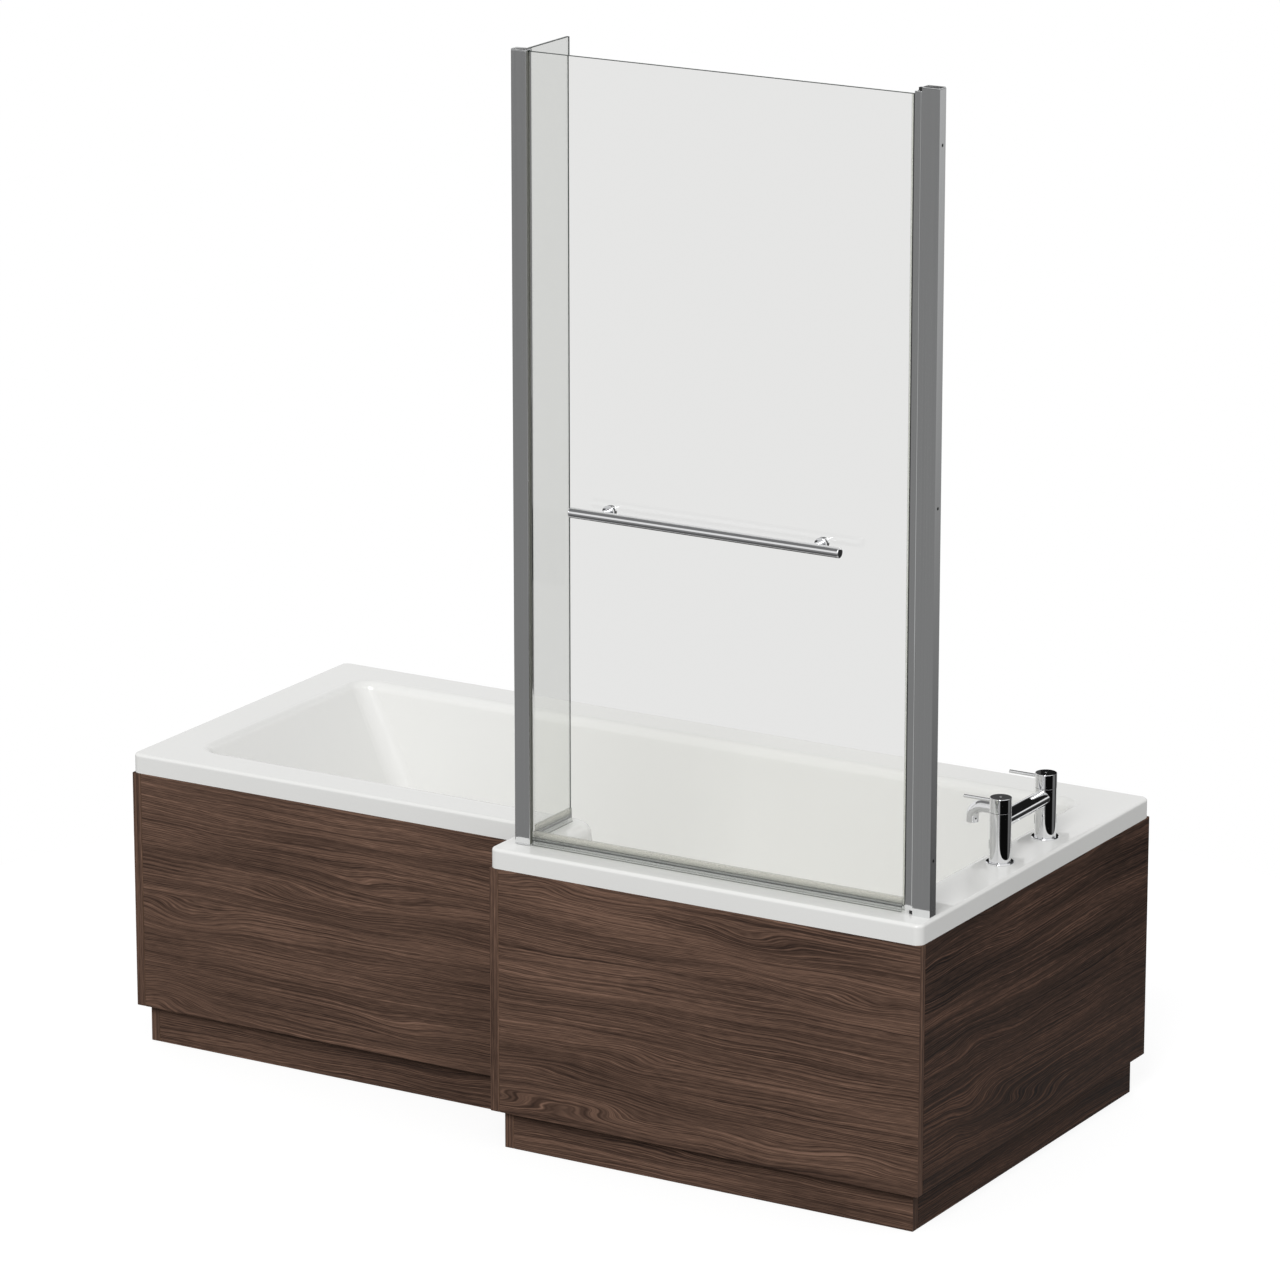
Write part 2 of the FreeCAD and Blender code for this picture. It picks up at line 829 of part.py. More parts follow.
zero = as_size(0)
waste = (waste_x, waste_y, floor_top)
flange_profile = [
    (d.waste_bore, -d.waste_tube_length),
    (d.waste_tube, -d.waste_tube_length),
    (d.waste_tube, zero),
    (d.waste_flange, zero),
    (d.waste_flange - d.waste_flange_thickness, d.waste_flange_thickness),
    (d.waste_tube, d.waste_flange_thickness),
    (d.waste_bore, -d.waste_flange_thickness),
]
hub_high = floor_top - d.waste_flange_thickness
hub_low = hub_high - d.hub_height
arm = d.hub_arm / 2
reach = (d.waste_tube + d.waste_bore) / 2
flange = fuse(
    "waste_flange",
    turn("flange_ring", flange_profile, waste),
    rod("hub", d.hub_radius, (waste_x, waste_y, hub_low), d.hub_height),
    block("arm_x", (waste_x - reach, waste_y - arm, hub_low), (waste_x + reach, waste_y + arm, hub_high)),
    block("arm_y", (waste_x - arm, waste_y - reach, hub_low), (waste_x + arm, waste_y + reach, hub_high)),
)
stem_bore = rod(
    "stem_bore", d.plug_stem + d.running_clearance, (waste_x, waste_y, hub_low), d.hub_height
)
node(cut("waste_flange", flange, stem_bore), "waste_flange")
plug_low = d.waste_flange_thickness + d.seat_clearance
plug_profile = [
    (zero, -d.plug_stem_length),
    (d.plug_stem, -d.plug_stem_length),
    (d.plug_stem, plug_low),
    (d.plug_radius, plug_low),
    (d.plug_radius, plug_low + d.plug_edge, d.plug_edge_radius),
    (d.plug_flat, plug_low + d.plug_thickness),
    (zero, plug_low + d.plug_thickness),
]
node(turn("waste_plug", plug_profile, waste), "waste_plug")
ring_high = -d.shell_wall
ring_low = ring_high - d.seal_ring_thickness
bowl_high = ring_low - d.bowl_wall
bowl_low = ring_low - d.bowl_depth
ring_bore = d.waste_tube + d.seat_clearance
ring_profile = [
    (ring_bore, ring_low),
    (d.seal_ring, ring_low),
    (d.seal_ring, ring_high),
    (ring_bore, ring_high),
]
node(turn("waste_seal", ring_profile, waste), "waste_seal")
bowl_profile = [
    (d.waste_tail_bore, bowl_low - d.waste_tail_length),
    (d.waste_tail, bowl_low - d.waste_tail_length),
    (d.waste_tail, bowl_low),
    (d.bowl_radius, bowl_low + d.bowl_wall),
    (d.bowl_radius, bowl_high),
    (d.seal_ring, bowl_high),
    (d.seal_ring, ring_low),
    (ring_bore, ring_low),
    (ring_bore, bowl_low + d.bowl_wall * 2),
    (d.waste_tail_bore, bowl_low + d.bowl_wall),
]
inlet_z = floor_top - d.inlet_drop
inlet_end = waste_x + d.inlet_reach
inlet_root = (ring_bore + d.bowl_radius) / 2
inlet_start = (waste_x + inlet_root, waste_y, inlet_z)
pipe_fit = d.overflow_pipe + d.running_clearance
pipe_end = inlet_end - d.socket_depth
bowl = cut(
    "bowl_side",
    fuse(
        "bowl",
        turn("bowl_cup", bowl_profile, waste),
        rod("inlet", d.inlet_radius, inlet_start, d.inlet_reach - inlet_root, "x"),
    ),
    rod("inlet_bore", d.overflow_bore, (waste_x + d.waste_bore, waste_y, inlet_z), d.inlet_reach, "x"),
    rod("inlet_socket", pipe_fit, (pipe_end, waste_y, inlet_z), d.inlet_reach, "x"),
)
node(bowl, "waste_body")

# Trap: a shallow bowl hung on the waste's tail, with a level outlet to the back.

tail_low = floor_top + bowl_low - d.waste_tail_length
collar_low = tail_low - d.trap_wall
collar_top = floor_top + bowl_low - d.seat_clearance
tail_fit = d.waste_tail + d.running_clearance
bowl_top = collar_low - d.trap_wall
trap_profile = [
    (zero, d.trap_bottom),
    (d.trap_bowl - d.trap_wall, d.trap_bottom),
    (d.trap_bowl, d.trap_bottom + d.trap_wall),
    (d.trap_bowl, bowl_top),
    (d.trap_collar, collar_low),
    (d.trap_collar, collar_top),
    (tail_fit, collar_top),
    (tail_fit, collar_low),
    (d.trap_bowl - d.trap_wall, bowl_top - d.trap_wall),
    (d.trap_bowl - d.trap_wall, d.trap_bottom + d.trap_wall),
    (zero, d.trap_bottom + d.trap_wall),
]
root_start = (waste_x, waste_y + d.trap_root_start, d.trap_outlet_height)
root_length = d.trap_reach - d.trap_spigot - d.trap_root_start
spigot_start = (waste_x, waste_y + d.trap_reach - d.trap_spigot, d.trap_outlet_height)
trap = cut(
    "trap_outlet",
    fuse(
        "trap",
        turn("trap_bowl", trap_profile, (waste_x, waste_y, zero)),
        rod("trap_root", d.trap_root, root_start, root_length, "y"),
        rod("trap_spigot", d.trap_outlet, spigot_start, d.trap_spigot, "y"),
    ),
    rod("outlet_bore", d.trap_outlet_bore, (waste_x, waste_y, d.trap_outlet_height), d.trap_reach, "y"),
)
node(trap, "bath_trap")

# Overflow: a cap screwed through the tap-end wall to an elbow behind it, and a pipe to the waste.

lean = math.degrees(math.atan2(d.tap_slope.value, d.well_depth.value))
TURNS["wall"] = FreeCAD.Rotation(Vector(0, 1, 0), lean - 90)
overflow = (overflow_x, waste_y, overflow_z)
tube_end = -d.overflow_depth
cap_profile = [
    (zero, tube_end + d.elbow_wall),
    (d.overflow_screw, tube_end + d.elbow_wall),
    (d.overflow_screw, d.overflow_slot),
    (d.overflow_face, d.overflow_slot),
    (d.overflow_face, d.overflow_slot + d.overflow_cap, d.overflow_cap_radius),
    (zero, d.overflow_slot + d.overflow_cap),
]
node(turn("overflow_cover", cap_profile, overflow, "wall"), "overflow_cover")
elbow_face = -(d.shell_wall + d.seat_clearance)
elbow_profile = [
    (d.overflow_tube_bore, elbow_face),
    (d.overflow_flange, elbow_face),
    (d.overflow_flange, elbow_face - d.elbow_wall),
    (d.overflow_tube, elbow_face - d.elbow_wall),
    (d.overflow_tube, tube_end),
    (zero, tube_end),
    (zero, tube_end + d.elbow_wall),
    (d.overflow_tube_bore, tube_end + d.elbow_wall),
]
pipe_x = overflow_x + d.pipe_stand_off
stub_low = overflow_z - d.overflow_stub
pipe_top = stub_low + d.socket_depth
elbow = cut(
    "elbow_bores",
    fuse(
        "elbow",
        turn("elbow_cup", elbow_profile, overflow, "wall"),
        rod("stub", d.inlet_radius, (pipe_x, waste_y, stub_low), d.overflow_stub - d.inlet_radius),
    ),
    rod("stub_socket", pipe_fit, (pipe_x, waste_y, stub_low), d.socket_depth),
    rod("stub_bore", d.overflow_bore, (pipe_x, waste_y, stub_low), d.overflow_stub),
)
node(elbow, "overflow_elbow")
pipe_path = [(pipe_x, pipe_top), (pipe_x, inlet_z, d.pipe_bend), (pipe_end, inlet_z)]
node(pipe("overflow_pipe", pipe_path, waste_y, d.overflow_pipe, d.overflow_bore), "overflow_pipe")

# Bath mixer: two pillars on the deck at the tap end, a bridge between them and a spout from its
# middle. Each pillar holds a quarter-turn cartridge, and a handle with a lever turns its spindle.

pillar_low = rim + d.escutcheon_thickness
pillar_top = rim + d.pillar_height
handle_low = pillar_top + d.handle_gap
handle_top = handle_low + d.handle_height
tail_fit = d.tail_radius + d.running_clearance
spindle_fit = d.spindle_radius + d.running_clearance
pocket = d.cartridge_radius + d.running_clearance
cartridge_top = pillar_top - d.pillar_recess
cartridge_low = cartridge_top - d.cartridge_length
shoulder = cartridge_top - d.cartridge_neck_length
spindle_low = cartridge_top - d.spindle_depth
spindle_high = handle_low + d.spindle_grip
edge = d.escutcheon_thickness / 2

escutcheon_profile = [
    (tail_fit, rim),
    (d.escutcheon_radius, rim),
    (d.escutcheon_radius, rim + edge),
    (d.escutcheon_radius - edge, pillar_low),
    (tail_fit, pillar_low),
]
pillar_profile = [
    (tail_fit, pillar_low),
    (d.pillar_radius, pillar_low),
    (d.pillar_radius, pillar_top),
    (pocket, pillar_top),
    (pocket, cartridge_low),
    (d.tail_bore, cartridge_low),
    (d.tail_bore, pillar_low + d.tail_socket),
    (tail_fit, pillar_low + d.tail_socket),
]
thread_end = rim - d.tail_length + d.tail_thread
tail_profile = [
    (d.tail_bore, rim - d.tail_length),
    (d.tail_radius, rim - d.tail_length),
    (d.tail_radius, thread_end),
    (d.tail_radius - d.tail_groove_depth, thread_end),
    (d.tail_radius - d.tail_groove_depth, thread_end + d.tail_groove),
    (d.tail_radius, thread_end + d.tail_groove),
    (d.tail_radius, pillar_low + d.tail_socket),
    (d.tail_bore, pillar_low + d.tail_socket),
]
cartridge_profile = [
    (zero, cartridge_low),
    (d.cartridge_radius, cartridge_low),
    (d.cartridge_radius, shoulder),
    (d.cartridge_neck, shoulder),
    (d.cartridge_neck, cartridge_top),
    (spindle_fit, cartridge_top),
    (spindle_fit, spindle_low),
    (zero, spindle_low),
]
spindle_profile = [
    (zero, spindle_low),
    (d.spindle_radius, spindle_low),
    (d.spindle_radius, spindle_high),
    (zero, spindle_high),
]
handle_profile = [
    (spindle_fit, handle_low),
    (d.pillar_radius, handle_low),
    (d.pillar_radius, handle_top, d.handle_edge),
    (zero, handle_top),
    (zero, spindle_high),
    (spindle_fit, spindle_high),
]
lever_end = d.pillar_radius + d.lever_length
lever_profile = [
    (zero, d.lever_seat),
    (d.lever_radius, d.lever_seat),
    (d.lever_radius, lever_end, d.lever_end_radius),
    (zero, lever_end),
]

escutcheons = []
tails = []
cartridges = []
back_nuts = []
lever_z = handle_low + d.lever_rise
lever_fit = d.lever_radius + d.running_clearance
for name, y in zip(("hot", "cold"), tap_ends):
    foot = (tap_x, y, zero)
    lever_spot = (tap_x, y, lever_z)
    escutcheons.append(turn(f"{name}_escutcheon", escutcheon_profile, foot))
    tails.append(turn(f"{name}_tail", tail_profile, foot))
    cartridges.append(turn(f"{name}_cartridge", cartridge_profile, foot))
    nut_spot = (tap_x, y, deck_bottom - d.back_nut_height)
    back_nuts.append(
        hex_nut(f"{name}_back_nut", d.back_nut_flats, d.back_nut_height, d.tail_radius, nut_spot)
    )
    node(turn(f"{name}_pillar", pillar_profile, foot), f"{name}_pillar")
    node(turn(f"{name}_spindle", spindle_profile, foot), f"{name}_spindle")
    knob = turn(f"{name}_knob", handle_profile, foot)
    seat = (tap_x - d.lever_seat, y, lever_z)
    lever_hole = rod(f"{name}_lever_hole", lever_fit, seat, lever_end, "-x")
    node(cut(f"{name}_handle", knob, lever_hole), f"{name}_handle")
    node(turn(f"{name}_lever", lever_profile, lever_spot, "-x"), f"{name}_lever")
node(group("escutcheons", escutcheons), "tap_escutcheons")
node(group("tails", tails), "tap_tails")
node(group("cartridges", cartridges), "tap_cartridges")
node(group("back_nuts", back_nuts), "tap_back_nuts")

bridge_z = rim + d.bridge_rise
bridge_start = (tap_x, tap_ends[0], bridge_z)
pillar_fit = d.pillar_radius + d.running_clearance
bridge = cut(
    "bridge",
    rod("bridge_outside", d.bridge_radius, bridge_start, d.tap_spacing, "y"),
    rod("bridge_bore", d.bridge_bore, bridge_start, d.tap_spacing, "y"),
    *(rod("bridge_end", pillar_fit, (tap_x, y, rim), d.pillar_height) for y in tap_ends),
)
node(bridge, "bridge_tube")
spout_z = bridge_z - d.spout_drop
spout_x = tap_x - d.spout_reach
outlet_z = spout_z - d.spout_bend - d.spout_fall
spout_path = [
    (tap_x - d.bridge_bore, spout_z),
    (spout_x, spout_z, d.spout_bend),
    (spout_x, outlet_z),
]
spout = cut(
    "spout_root",
    pipe("spout_pipe", spout_path, tap_y, d.spout_radius, d.spout_bore),
    rod("spout_seat", d.bridge_radius + d.running_clearance, bridge_start, d.tap_spacing, "y"),
)
node(spout, "spout")
aerator_fit = d.spout_bore - d.running_clearance
aerator_top = d.spout_fall - d.seat_clearance
aerator_profile = [
    (zero, d.aerator_lip),
    (d.aerator_bore, d.aerator_lip),
    (d.aerator_bore, -d.aerator_lip),
    (d.spout_radius, -d.aerator_lip),
    (d.spout_radius, zero),
    (aerator_fit, zero),
    (aerator_fit, aerator_top),
    (d.aerator_bore, aerator_top),
    (d.aerator_bore, d.aerator_lip * 2),
    (zero, d.aerator_lip * 2),
]
node(turn("aerator", aerator_profile, (spout_x, tap_y, outlet_z)), "aerator")

# Bath screen, fixed part: a wall channel with three screw holes, a box profile slid into it, and
# a bracket at each end of the profile that carries the hinge's pin.

screen_y = wide_front + d.screen_inset
screen_top = rim + d.screen_height
wall_x = right - d.wall_gap
channel_x = wall_x - d.channel_width
hinge_x = channel_x - d.hinge_gap
channel_top = screen_top - d.cap_thickness
half = d.channel_depth / 2


def rectangle(x0, x1, y_half, radius=None):
    """Corners of a rectangle in plan, centred on the screen's line."""
    y0 = screen_y - y_half
    y1 = screen_y + y_half
    corners = [(x0, y0), (x1, y0), (x1, y1), (x0, y1)]
    if radius is None:
        return corners
    return [(x, y, radius) for x, y in corners]


inside = half - d.channel_wall
channel_outline = rectangle(channel_x, wall_x, half) + [
    (channel_x, screen_y + inside),
    (wall_x - d.channel_wall, screen_y + inside),
    (wall_x - d.channel_wall, screen_y - inside),
    (channel_x, screen_y - inside),
]
channel = extrude("channel", "XY_Plane", rim, channel_top, channel_outline)
channel_middle = rim + d.screen_height / 2 + d.cap_thickness
channel_holes = []
for z in (channel_middle - d.channel_hole_spacing, channel_middle, channel_middle + d.channel_hole_spacing):
    hole = (channel_x, screen_y, z)
    channel_holes.append(rod("channel_hole", d.channel_hole, hole, d.channel_width, "x"))
node(cut("wall_channel", channel, *channel_holes), "wall_channel")
cap_outline = rectangle(channel_x, wall_x, half, d.channel_wall)
node(extrude("channel_cap", "XY_Plane", channel_top, screen_top, cap_outline), "channel_cap")

box_half = inside - d.seat_clearance
box_left = channel_x + d.channel_wall
box_right = wall_x - d.channel_wall - d.screw_head_room
box_inside = rectangle(box_left + d.profile_wall, box_right - d.profile_wall, box_half - d.profile_wall)
box_low = rim + d.plate_gap + d.hinge_plate
box_high = channel_top - d.plate_gap - d.hinge_plate
box = extrude("box", "XY_Plane", box_low, box_high, rectangle(box_left, box_right, box_half), [box_inside])
node(box, "pivot_profile")


def hinge_bracket(name, plate_low, lug_low):
    """A plate across the profile's end, with a lug inside the profile and the hinge's pin."""
    nose = d.plate_nose
    outline = [
        (hinge_x - nose, screen_y - nose, d.plate_corner),
        (box_right, screen_y - nose),
        (box_right, screen_y + nose),
        (hinge_x - nose, screen_y + nose, d.plate_corner),
    ]
    fit = d.profile_wall + d.seat_clearance
    low = (box_left + fit, screen_y - box_half + fit, lug_low)
    high = (box_right - fit, screen_y + box_half - fit, lug_low + d.hinge_pin_length)
    return fuse(
        name,
        extrude(f"{name}_plate", "XY_Plane", plate_low, plate_low + d.hinge_plate, outline),
        block(f"{name}_lug", low, high),
        rod(f"{name}_pin", d.hinge_pin, (hinge_x, screen_y, lug_low), d.hinge_pin_length),
    )


hinge_brackets = [
    hinge_bracket("low_bracket", box_low - d.hinge_plate, box_low),
    hinge_bracket("high_bracket", box_high, box_high - d.hinge_pin_length),
]
node(group("hinge_ends", hinge_brackets), "hinge_brackets")

# Bath screen, swinging part: the hinge profile grips the main pane through a soft gasket, a
# slotted post joins the short return pane at right angles, and a fin seal runs under each pane.

pane = d.glass / 2
slot = pane + d.gasket + d.running_clearance
slot_end = hinge_x - d.hinge_pin - d.hinge_slot_wall
grip_x = hinge_x - d.hinge_grip
hinge_outline = [
    (grip_x, screen_y - d.hinge_radius),
    (hinge_x + d.hinge_radius, screen_y - d.hinge_radius, d.hinge_nose),
    (hinge_x + d.hinge_radius, screen_y + d.hinge_radius, d.hinge_nose),
    (grip_x, screen_y + d.hinge_radius),
    (grip_x, screen_y + slot),
    (slot_end, screen_y + slot),
    (slot_end, screen_y - slot),
    (grip_x, screen_y - slot),
]
hinge_low = box_low + d.plate_gap
hinge_high = box_high - d.plate_gap
pin_fit = d.hinge_pin + d.running_clearance
pin_bore = (hinge_x, screen_y, pin_fit)
hinge = extrude("hinge_section", "XY_Plane", hinge_low, hinge_high, hinge_outline, [pin_bore])
node(hinge, "hinge_profile")

seal_low = rim + d.seal_clearance
seal_top = seal_low + d.seal_height
glass_low = seal_top - d.seal_grip
glass_high = screen_top - d.glass_top_gap
gasket_end = slot_end - d.running_clearance
gasket_start = grip_x - d.gasket_reach
soft = pane + d.gasket
snug = pane + d.running_clearance
gasket_outline = [
    (gasket_start, screen_y - soft),
    (gasket_end, screen_y - soft),
    (gasket_end, screen_y + soft),
    (gasket_start, screen_y + soft),
    (gasket_start, screen_y + snug),
    (gasket_end - d.gasket, screen_y + snug),
    (gasket_end - d.gasket, screen_y - snug),
    (gasket_start, screen_y - snug),
]
gasket = extrude("gasket_section", "XY_Plane", glass_low, glass_high, gasket_outline)
node(gasket, "hinge_seal")

post_x = step + d.post_from_step
post_side = d.post_width / 2
post_face = d.post_depth / 2
rail_x = hinge_x - d.rail_from_hinge
rail_z = rim + d.rail_rise
rail_posts = (rail_x - d.rail_post_spacing / 2, rail_x + d.rail_post_spacing / 2)
side_groove = post_side - d.post_slot
back_groove = post_face - d.post_slot
edge_gap = d.seat_clearance
pane_left = post_x + side_groove + edge_gap
pane_right = gasket_end - d.gasket - d.running_clearance
pane_outline = [
    (pane_left, glass_low),
    (pane_right, glass_low),
    (pane_right, glass_high),
    (pane_left, glass_high),
]
pane_holes = [(x, rail_z, d.glass_hole) for x in rail_posts]
node(
    extrude("main_pane", "XZ_Plane", screen_y - pane, screen_y + pane, pane_outline, pane_holes),
    "main_glass",
)
return_start = screen_y + back_groove + edge_gap
return_end = screen_y + d.return_depth
return_outline = [
    (return_start, glass_low),
    (return_end, glass_low),
    (return_end, glass_high),
    (return_start, glass_high),
]
node(
    extrude("return_pane", "YZ_Plane", post_x - pane, post_x + pane, return_outline),
    "return_glass",
)

slit = pane + d.seat_clearance
post_low = rim + d.seal_clearance + d.cap_thickness
post_high = glass_high + d.seal_clearance
post_outline = [
    (post_x - post_side, screen_y - post_face, d.post_round),
    (post_x + post_side, screen_y - post_face, d.post_corner),
    (post_x + post_side, screen_y - slit),
    (post_x + side_groove, screen_y - slit),
    (post_x + side_groove, screen_y + slit),
    (post_x + post_side, screen_y + slit),
    (post_x + post_side, screen_y + post_face, d.post_corner),
    (post_x + slit, screen_y + post_face),
    (post_x + slit, screen_y + back_groove),
    (post_x - slit, screen_y + back_groove),
    (post_x - slit, screen_y + post_face),
    (post_x - post_side, screen_y + post_face, d.post_corner),
]
node(extrude("post", "XY_Plane", post_low, post_high, post_outline), "corner_post")
end_outline = [
    (post_x - post_side, screen_y - post_face, d.post_round),
    (post_x + post_side, screen_y - post_face, d.post_corner),
    (post_x + post_side, screen_y + post_face, d.post_corner),
    (post_x - post_side, screen_y + post_face, d.post_corner),
]
post_ends = [
    extrude("low_post_cap", "XY_Plane", post_low - d.cap_thickness, post_low, end_outline),
    extrude("high_post_cap", "XY_Plane", post_high, post_high + d.cap_thickness, end_outline),
]
node(group("post_ends", post_ends), "post_caps")


def fin_seal(middle):
    """A seal's section round a pane's lower edge: two grip walls, a web and two splayed fins."""
    outside = snug + d.seal_wall
    web_low = glass_low - d.seal_web
    fin_root = web_low - d.seal_wall
    return [
        (middle - outside, seal_top),
        (middle - outside, fin_root),
        (middle - d.seal_spread, seal_low),
        (middle - d.seal_spread + d.seal_fin, seal_low),
        (middle - pane, web_low),
        (middle + pane, web_low),
        (middle + d.seal_spread - d.seal_fin, seal_low),
        (middle + d.seal_spread, seal_low),
        (middle + outside, fin_root),
        (middle + outside, seal_top),
        (middle + snug, seal_top),
        (middle + snug, glass_low),
        (middle - snug, glass_low),
        (middle - snug, seal_top),
    ]


main_seal_start = post_x + post_side + d.cap_thickness
node(
    extrude("main_fins", "YZ_Plane", main_seal_start, gasket_start - d.gasket, fin_seal(screen_y)),
    "main_seal",
)
return_seal_start = screen_y + post_face + d.cap_thickness
node(
    extrude("return_fins", "XZ_Plane", return_seal_start, return_end, fin_seal(post_x)),
    "return_seal",
)

# Towel rail on the outer face of the main pane: a tube on two stand-offs, each held by a bolt
# through the glass from a round cap on the inner face.

glass_face = screen_y - pane
rail_y = glass_face - d.rail_stand_off
rail_left = rail_x - d.rail_length / 2
rail_right = rail_x + d.rail_length / 2
rail_end = (rail_left, rail_y, rail_z)
rail_tube = cut(
    "rail",
    rod("rail_outside", d.rail_tube_radius, rail_end, d.rail_length, "x"),
    rod("rail_bore", d.rail_tube_bore, rail_end, d.rail_length, "x"),
)
node(rail_tube, "rail_tube")
plug_fit = d.rail_tube_bore - d.running_clearance
rail_cap_profile = [
    (zero, -d.rail_cap_plug),
    (plug_fit, -d.rail_cap_plug),
    (plug_fit, zero),
    (d.rail_tube_radius, zero),
    (d.rail_tube_radius, d.rail_cap, d.rail_cap_radius),
    (zero, d.rail_cap),
]
rail_caps = [
    turn("left_rail_cap", rail_cap_profile, rail_end, "-x"),
    turn("right_rail_cap", rail_cap_profile, (rail_right, rail_y, rail_z), "x"),
]
node(group("rail_caps", rail_caps), "rail_end_caps")

bolt_fit = d.rail_bolt + d.running_clearance
stand_off_profile = [
    (bolt_fit, zero),
    (d.rail_collar, zero),
    (d.rail_collar, d.rail_collar_thickness),
    (d.rail_neck, d.rail_collar_thickness + d.rail_collar_cone),
    (d.rail_neck, d.rail_stand_off),
    (zero, d.rail_stand_off),
    (zero, d.rail_bolt_depth),
    (bolt_fit, d.rail_bolt_depth),
]
bolt_end = d.glass + d.rail_bolt_depth - d.seat_clearance
bolt_profile = [
    (zero, -d.rail_bolt_head),
    (d.rail_collar, -d.rail_bolt_head, d.rail_bolt_round),
    (d.rail_collar, zero),
    (d.rail_bolt, zero),
    (d.rail_bolt, bolt_end),
    (zero, bolt_end),
]
stand_offs = []
bolts = []
for name, x in zip(("left", "right"), rail_posts):
    neck = turn(f"{name}_neck", stand_off_profile, (x, glass_face, rail_z), "-y")
    saddle = rod(f"{name}_saddle", d.rail_tube_radius + d.running_clearance, rail_end, d.rail_length, "x")
    stand_offs.append(cut(f"{name}_stand_off", neck, saddle))
    bolts.append(turn(f"{name}_bolt", bolt_profile, (x, screen_y + pane, rail_z), "-y"))
node(group("stand_offs", stand_offs), "rail_standoffs")
node(group("bolts", bolts), "rail_bolts")

# Every feature must have solved and every piece must be a sound solid before anything is written.

doc.recompute()
for thing in doc.Objects:
    if "Invalid" in thing.State or "Error" in thing.State:
        raise RuntimeError(f"{thing.Name} did not solve: {thing.State}")
os.makedirs("parts", exist_ok=True)
for thing in nodes:
    shape = thing.Shape
    if shape.isNull() or not shape.isValid() or not shape.Solids:
        raise RuntimeError(f"{thing.Label} is not a sound solid")
    shape.exportStep(f"parts/{thing.Label}.step")
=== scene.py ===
import json
import math

import bmesh
import bpy
from mathutils import Matrix, Vector

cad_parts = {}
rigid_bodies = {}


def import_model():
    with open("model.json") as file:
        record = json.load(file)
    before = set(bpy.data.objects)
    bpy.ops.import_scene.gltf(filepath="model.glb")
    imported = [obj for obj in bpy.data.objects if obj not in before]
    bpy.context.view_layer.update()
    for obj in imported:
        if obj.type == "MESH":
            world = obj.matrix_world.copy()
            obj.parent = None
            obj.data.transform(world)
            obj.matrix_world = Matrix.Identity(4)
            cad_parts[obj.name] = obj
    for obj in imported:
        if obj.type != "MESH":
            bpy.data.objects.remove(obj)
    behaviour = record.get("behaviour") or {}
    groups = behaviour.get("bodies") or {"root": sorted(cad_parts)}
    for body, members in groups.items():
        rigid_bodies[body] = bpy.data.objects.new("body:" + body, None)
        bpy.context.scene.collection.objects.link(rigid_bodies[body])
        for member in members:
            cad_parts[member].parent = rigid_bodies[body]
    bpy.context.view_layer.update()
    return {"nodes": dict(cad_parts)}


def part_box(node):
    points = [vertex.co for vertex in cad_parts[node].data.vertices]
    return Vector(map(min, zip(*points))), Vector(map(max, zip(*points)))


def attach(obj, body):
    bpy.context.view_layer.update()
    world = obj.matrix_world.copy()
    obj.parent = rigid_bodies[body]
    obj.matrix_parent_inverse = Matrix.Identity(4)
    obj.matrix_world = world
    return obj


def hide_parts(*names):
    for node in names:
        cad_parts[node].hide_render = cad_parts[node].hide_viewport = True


for leftover in list(bpy.data.objects):
    bpy.data.objects.remove(leftover)
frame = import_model()

# Bath shell: one sheet of white sanitary acrylic, drawn hot over an L-shaped mould and
# backed with resin. Deck, rolled mouth and well are one glossy skin with soft edges.


def linear(code):
    """An sRGB hex colour as the linear colour that a socket takes."""
    shares = [int(code[i:i + 2], 16) / 255 for i in (0, 2, 4)]
    return [s / 12.92 if s <= 0.04045 else ((s + 0.055) / 1.055) ** 2.4 for s in shares] + [1.0]


def add(tree, kind, sockets, ramp=(), **settings):
    """Adds one node with its settings, and gives its sockets a value or a link each."""
    node = tree.nodes.new("ShaderNode" + kind)
    for name, value in settings.items():
        setattr(node, name, value)
    for name, value in sockets.items():
        if isinstance(value, bpy.types.NodeSocket):
            tree.links.new(value, node.inputs[name])
        else:
            node.inputs[name].default_value = value
    for i, (place, colour) in enumerate(ramp):
        stops = node.color_ramp.elements
        stop = stops[i] if i < len(stops) else stops.new(place)
        stop.position = place
        stop.color = colour
    return node


def start(name):
    """A new material, its empty tree, and the piece's own coordinates in metres."""
    made = bpy.data.materials.new(name)
    made.use_nodes = True
    made.node_tree.nodes.clear()
    return made, made.node_tree, add(made.node_tree, "TexCoord", {}).outputs["Object"]


def close(tree, sockets):
    """Ends a material in one Principled shader with those sockets."""
    shader = add(tree, "BsdfPrincipled", sockets)
    add(tree, "OutputMaterial", {"Surface": shader.outputs[0]})


def paint(material, *nodes):
    """Gives CAD nodes whose shape is right their finish."""
    for node in nodes:
        slots = frame["nodes"][node].data.materials
        slots.clear()
        slots.append(material)


# Cast and drawn acrylic gives a clean white with a clear gloss. The sheet thins where it
# stretched, so the tone drifts a little, and the skin has a faint orange peel.
acrylic, tree, place = start("sanitary_acrylic")
drift = add(tree, "TexNoise", {"Vector": place, "Scale": 1 / 0.35, "Detail": 2.0})
white = add(
    tree, "Mix", {0: drift.outputs[0], 6: linear("E9E9E7"), 7: linear("EEEEEC")}, data_type="RGBA"
)
peel = add(tree, "TexNoise", {"Vector": place, "Scale": 1 / 0.014, "Detail": 1.0})
skin = add(tree, "Bump", {"Height": peel.outputs[0], "Strength": 0.05, "Distance": 0.0004})
gloss = add(tree, "MapRange", {"Value": drift.outputs[0], "To Min": 0.13, "To Max": 0.2})
close(tree, {
    "Base Color": white.outputs[2], "Roughness": gloss.outputs[0], "IOR": 1.49,
    "Normal": skin.outputs[0],
})
paint(acrylic, "bath_shell")

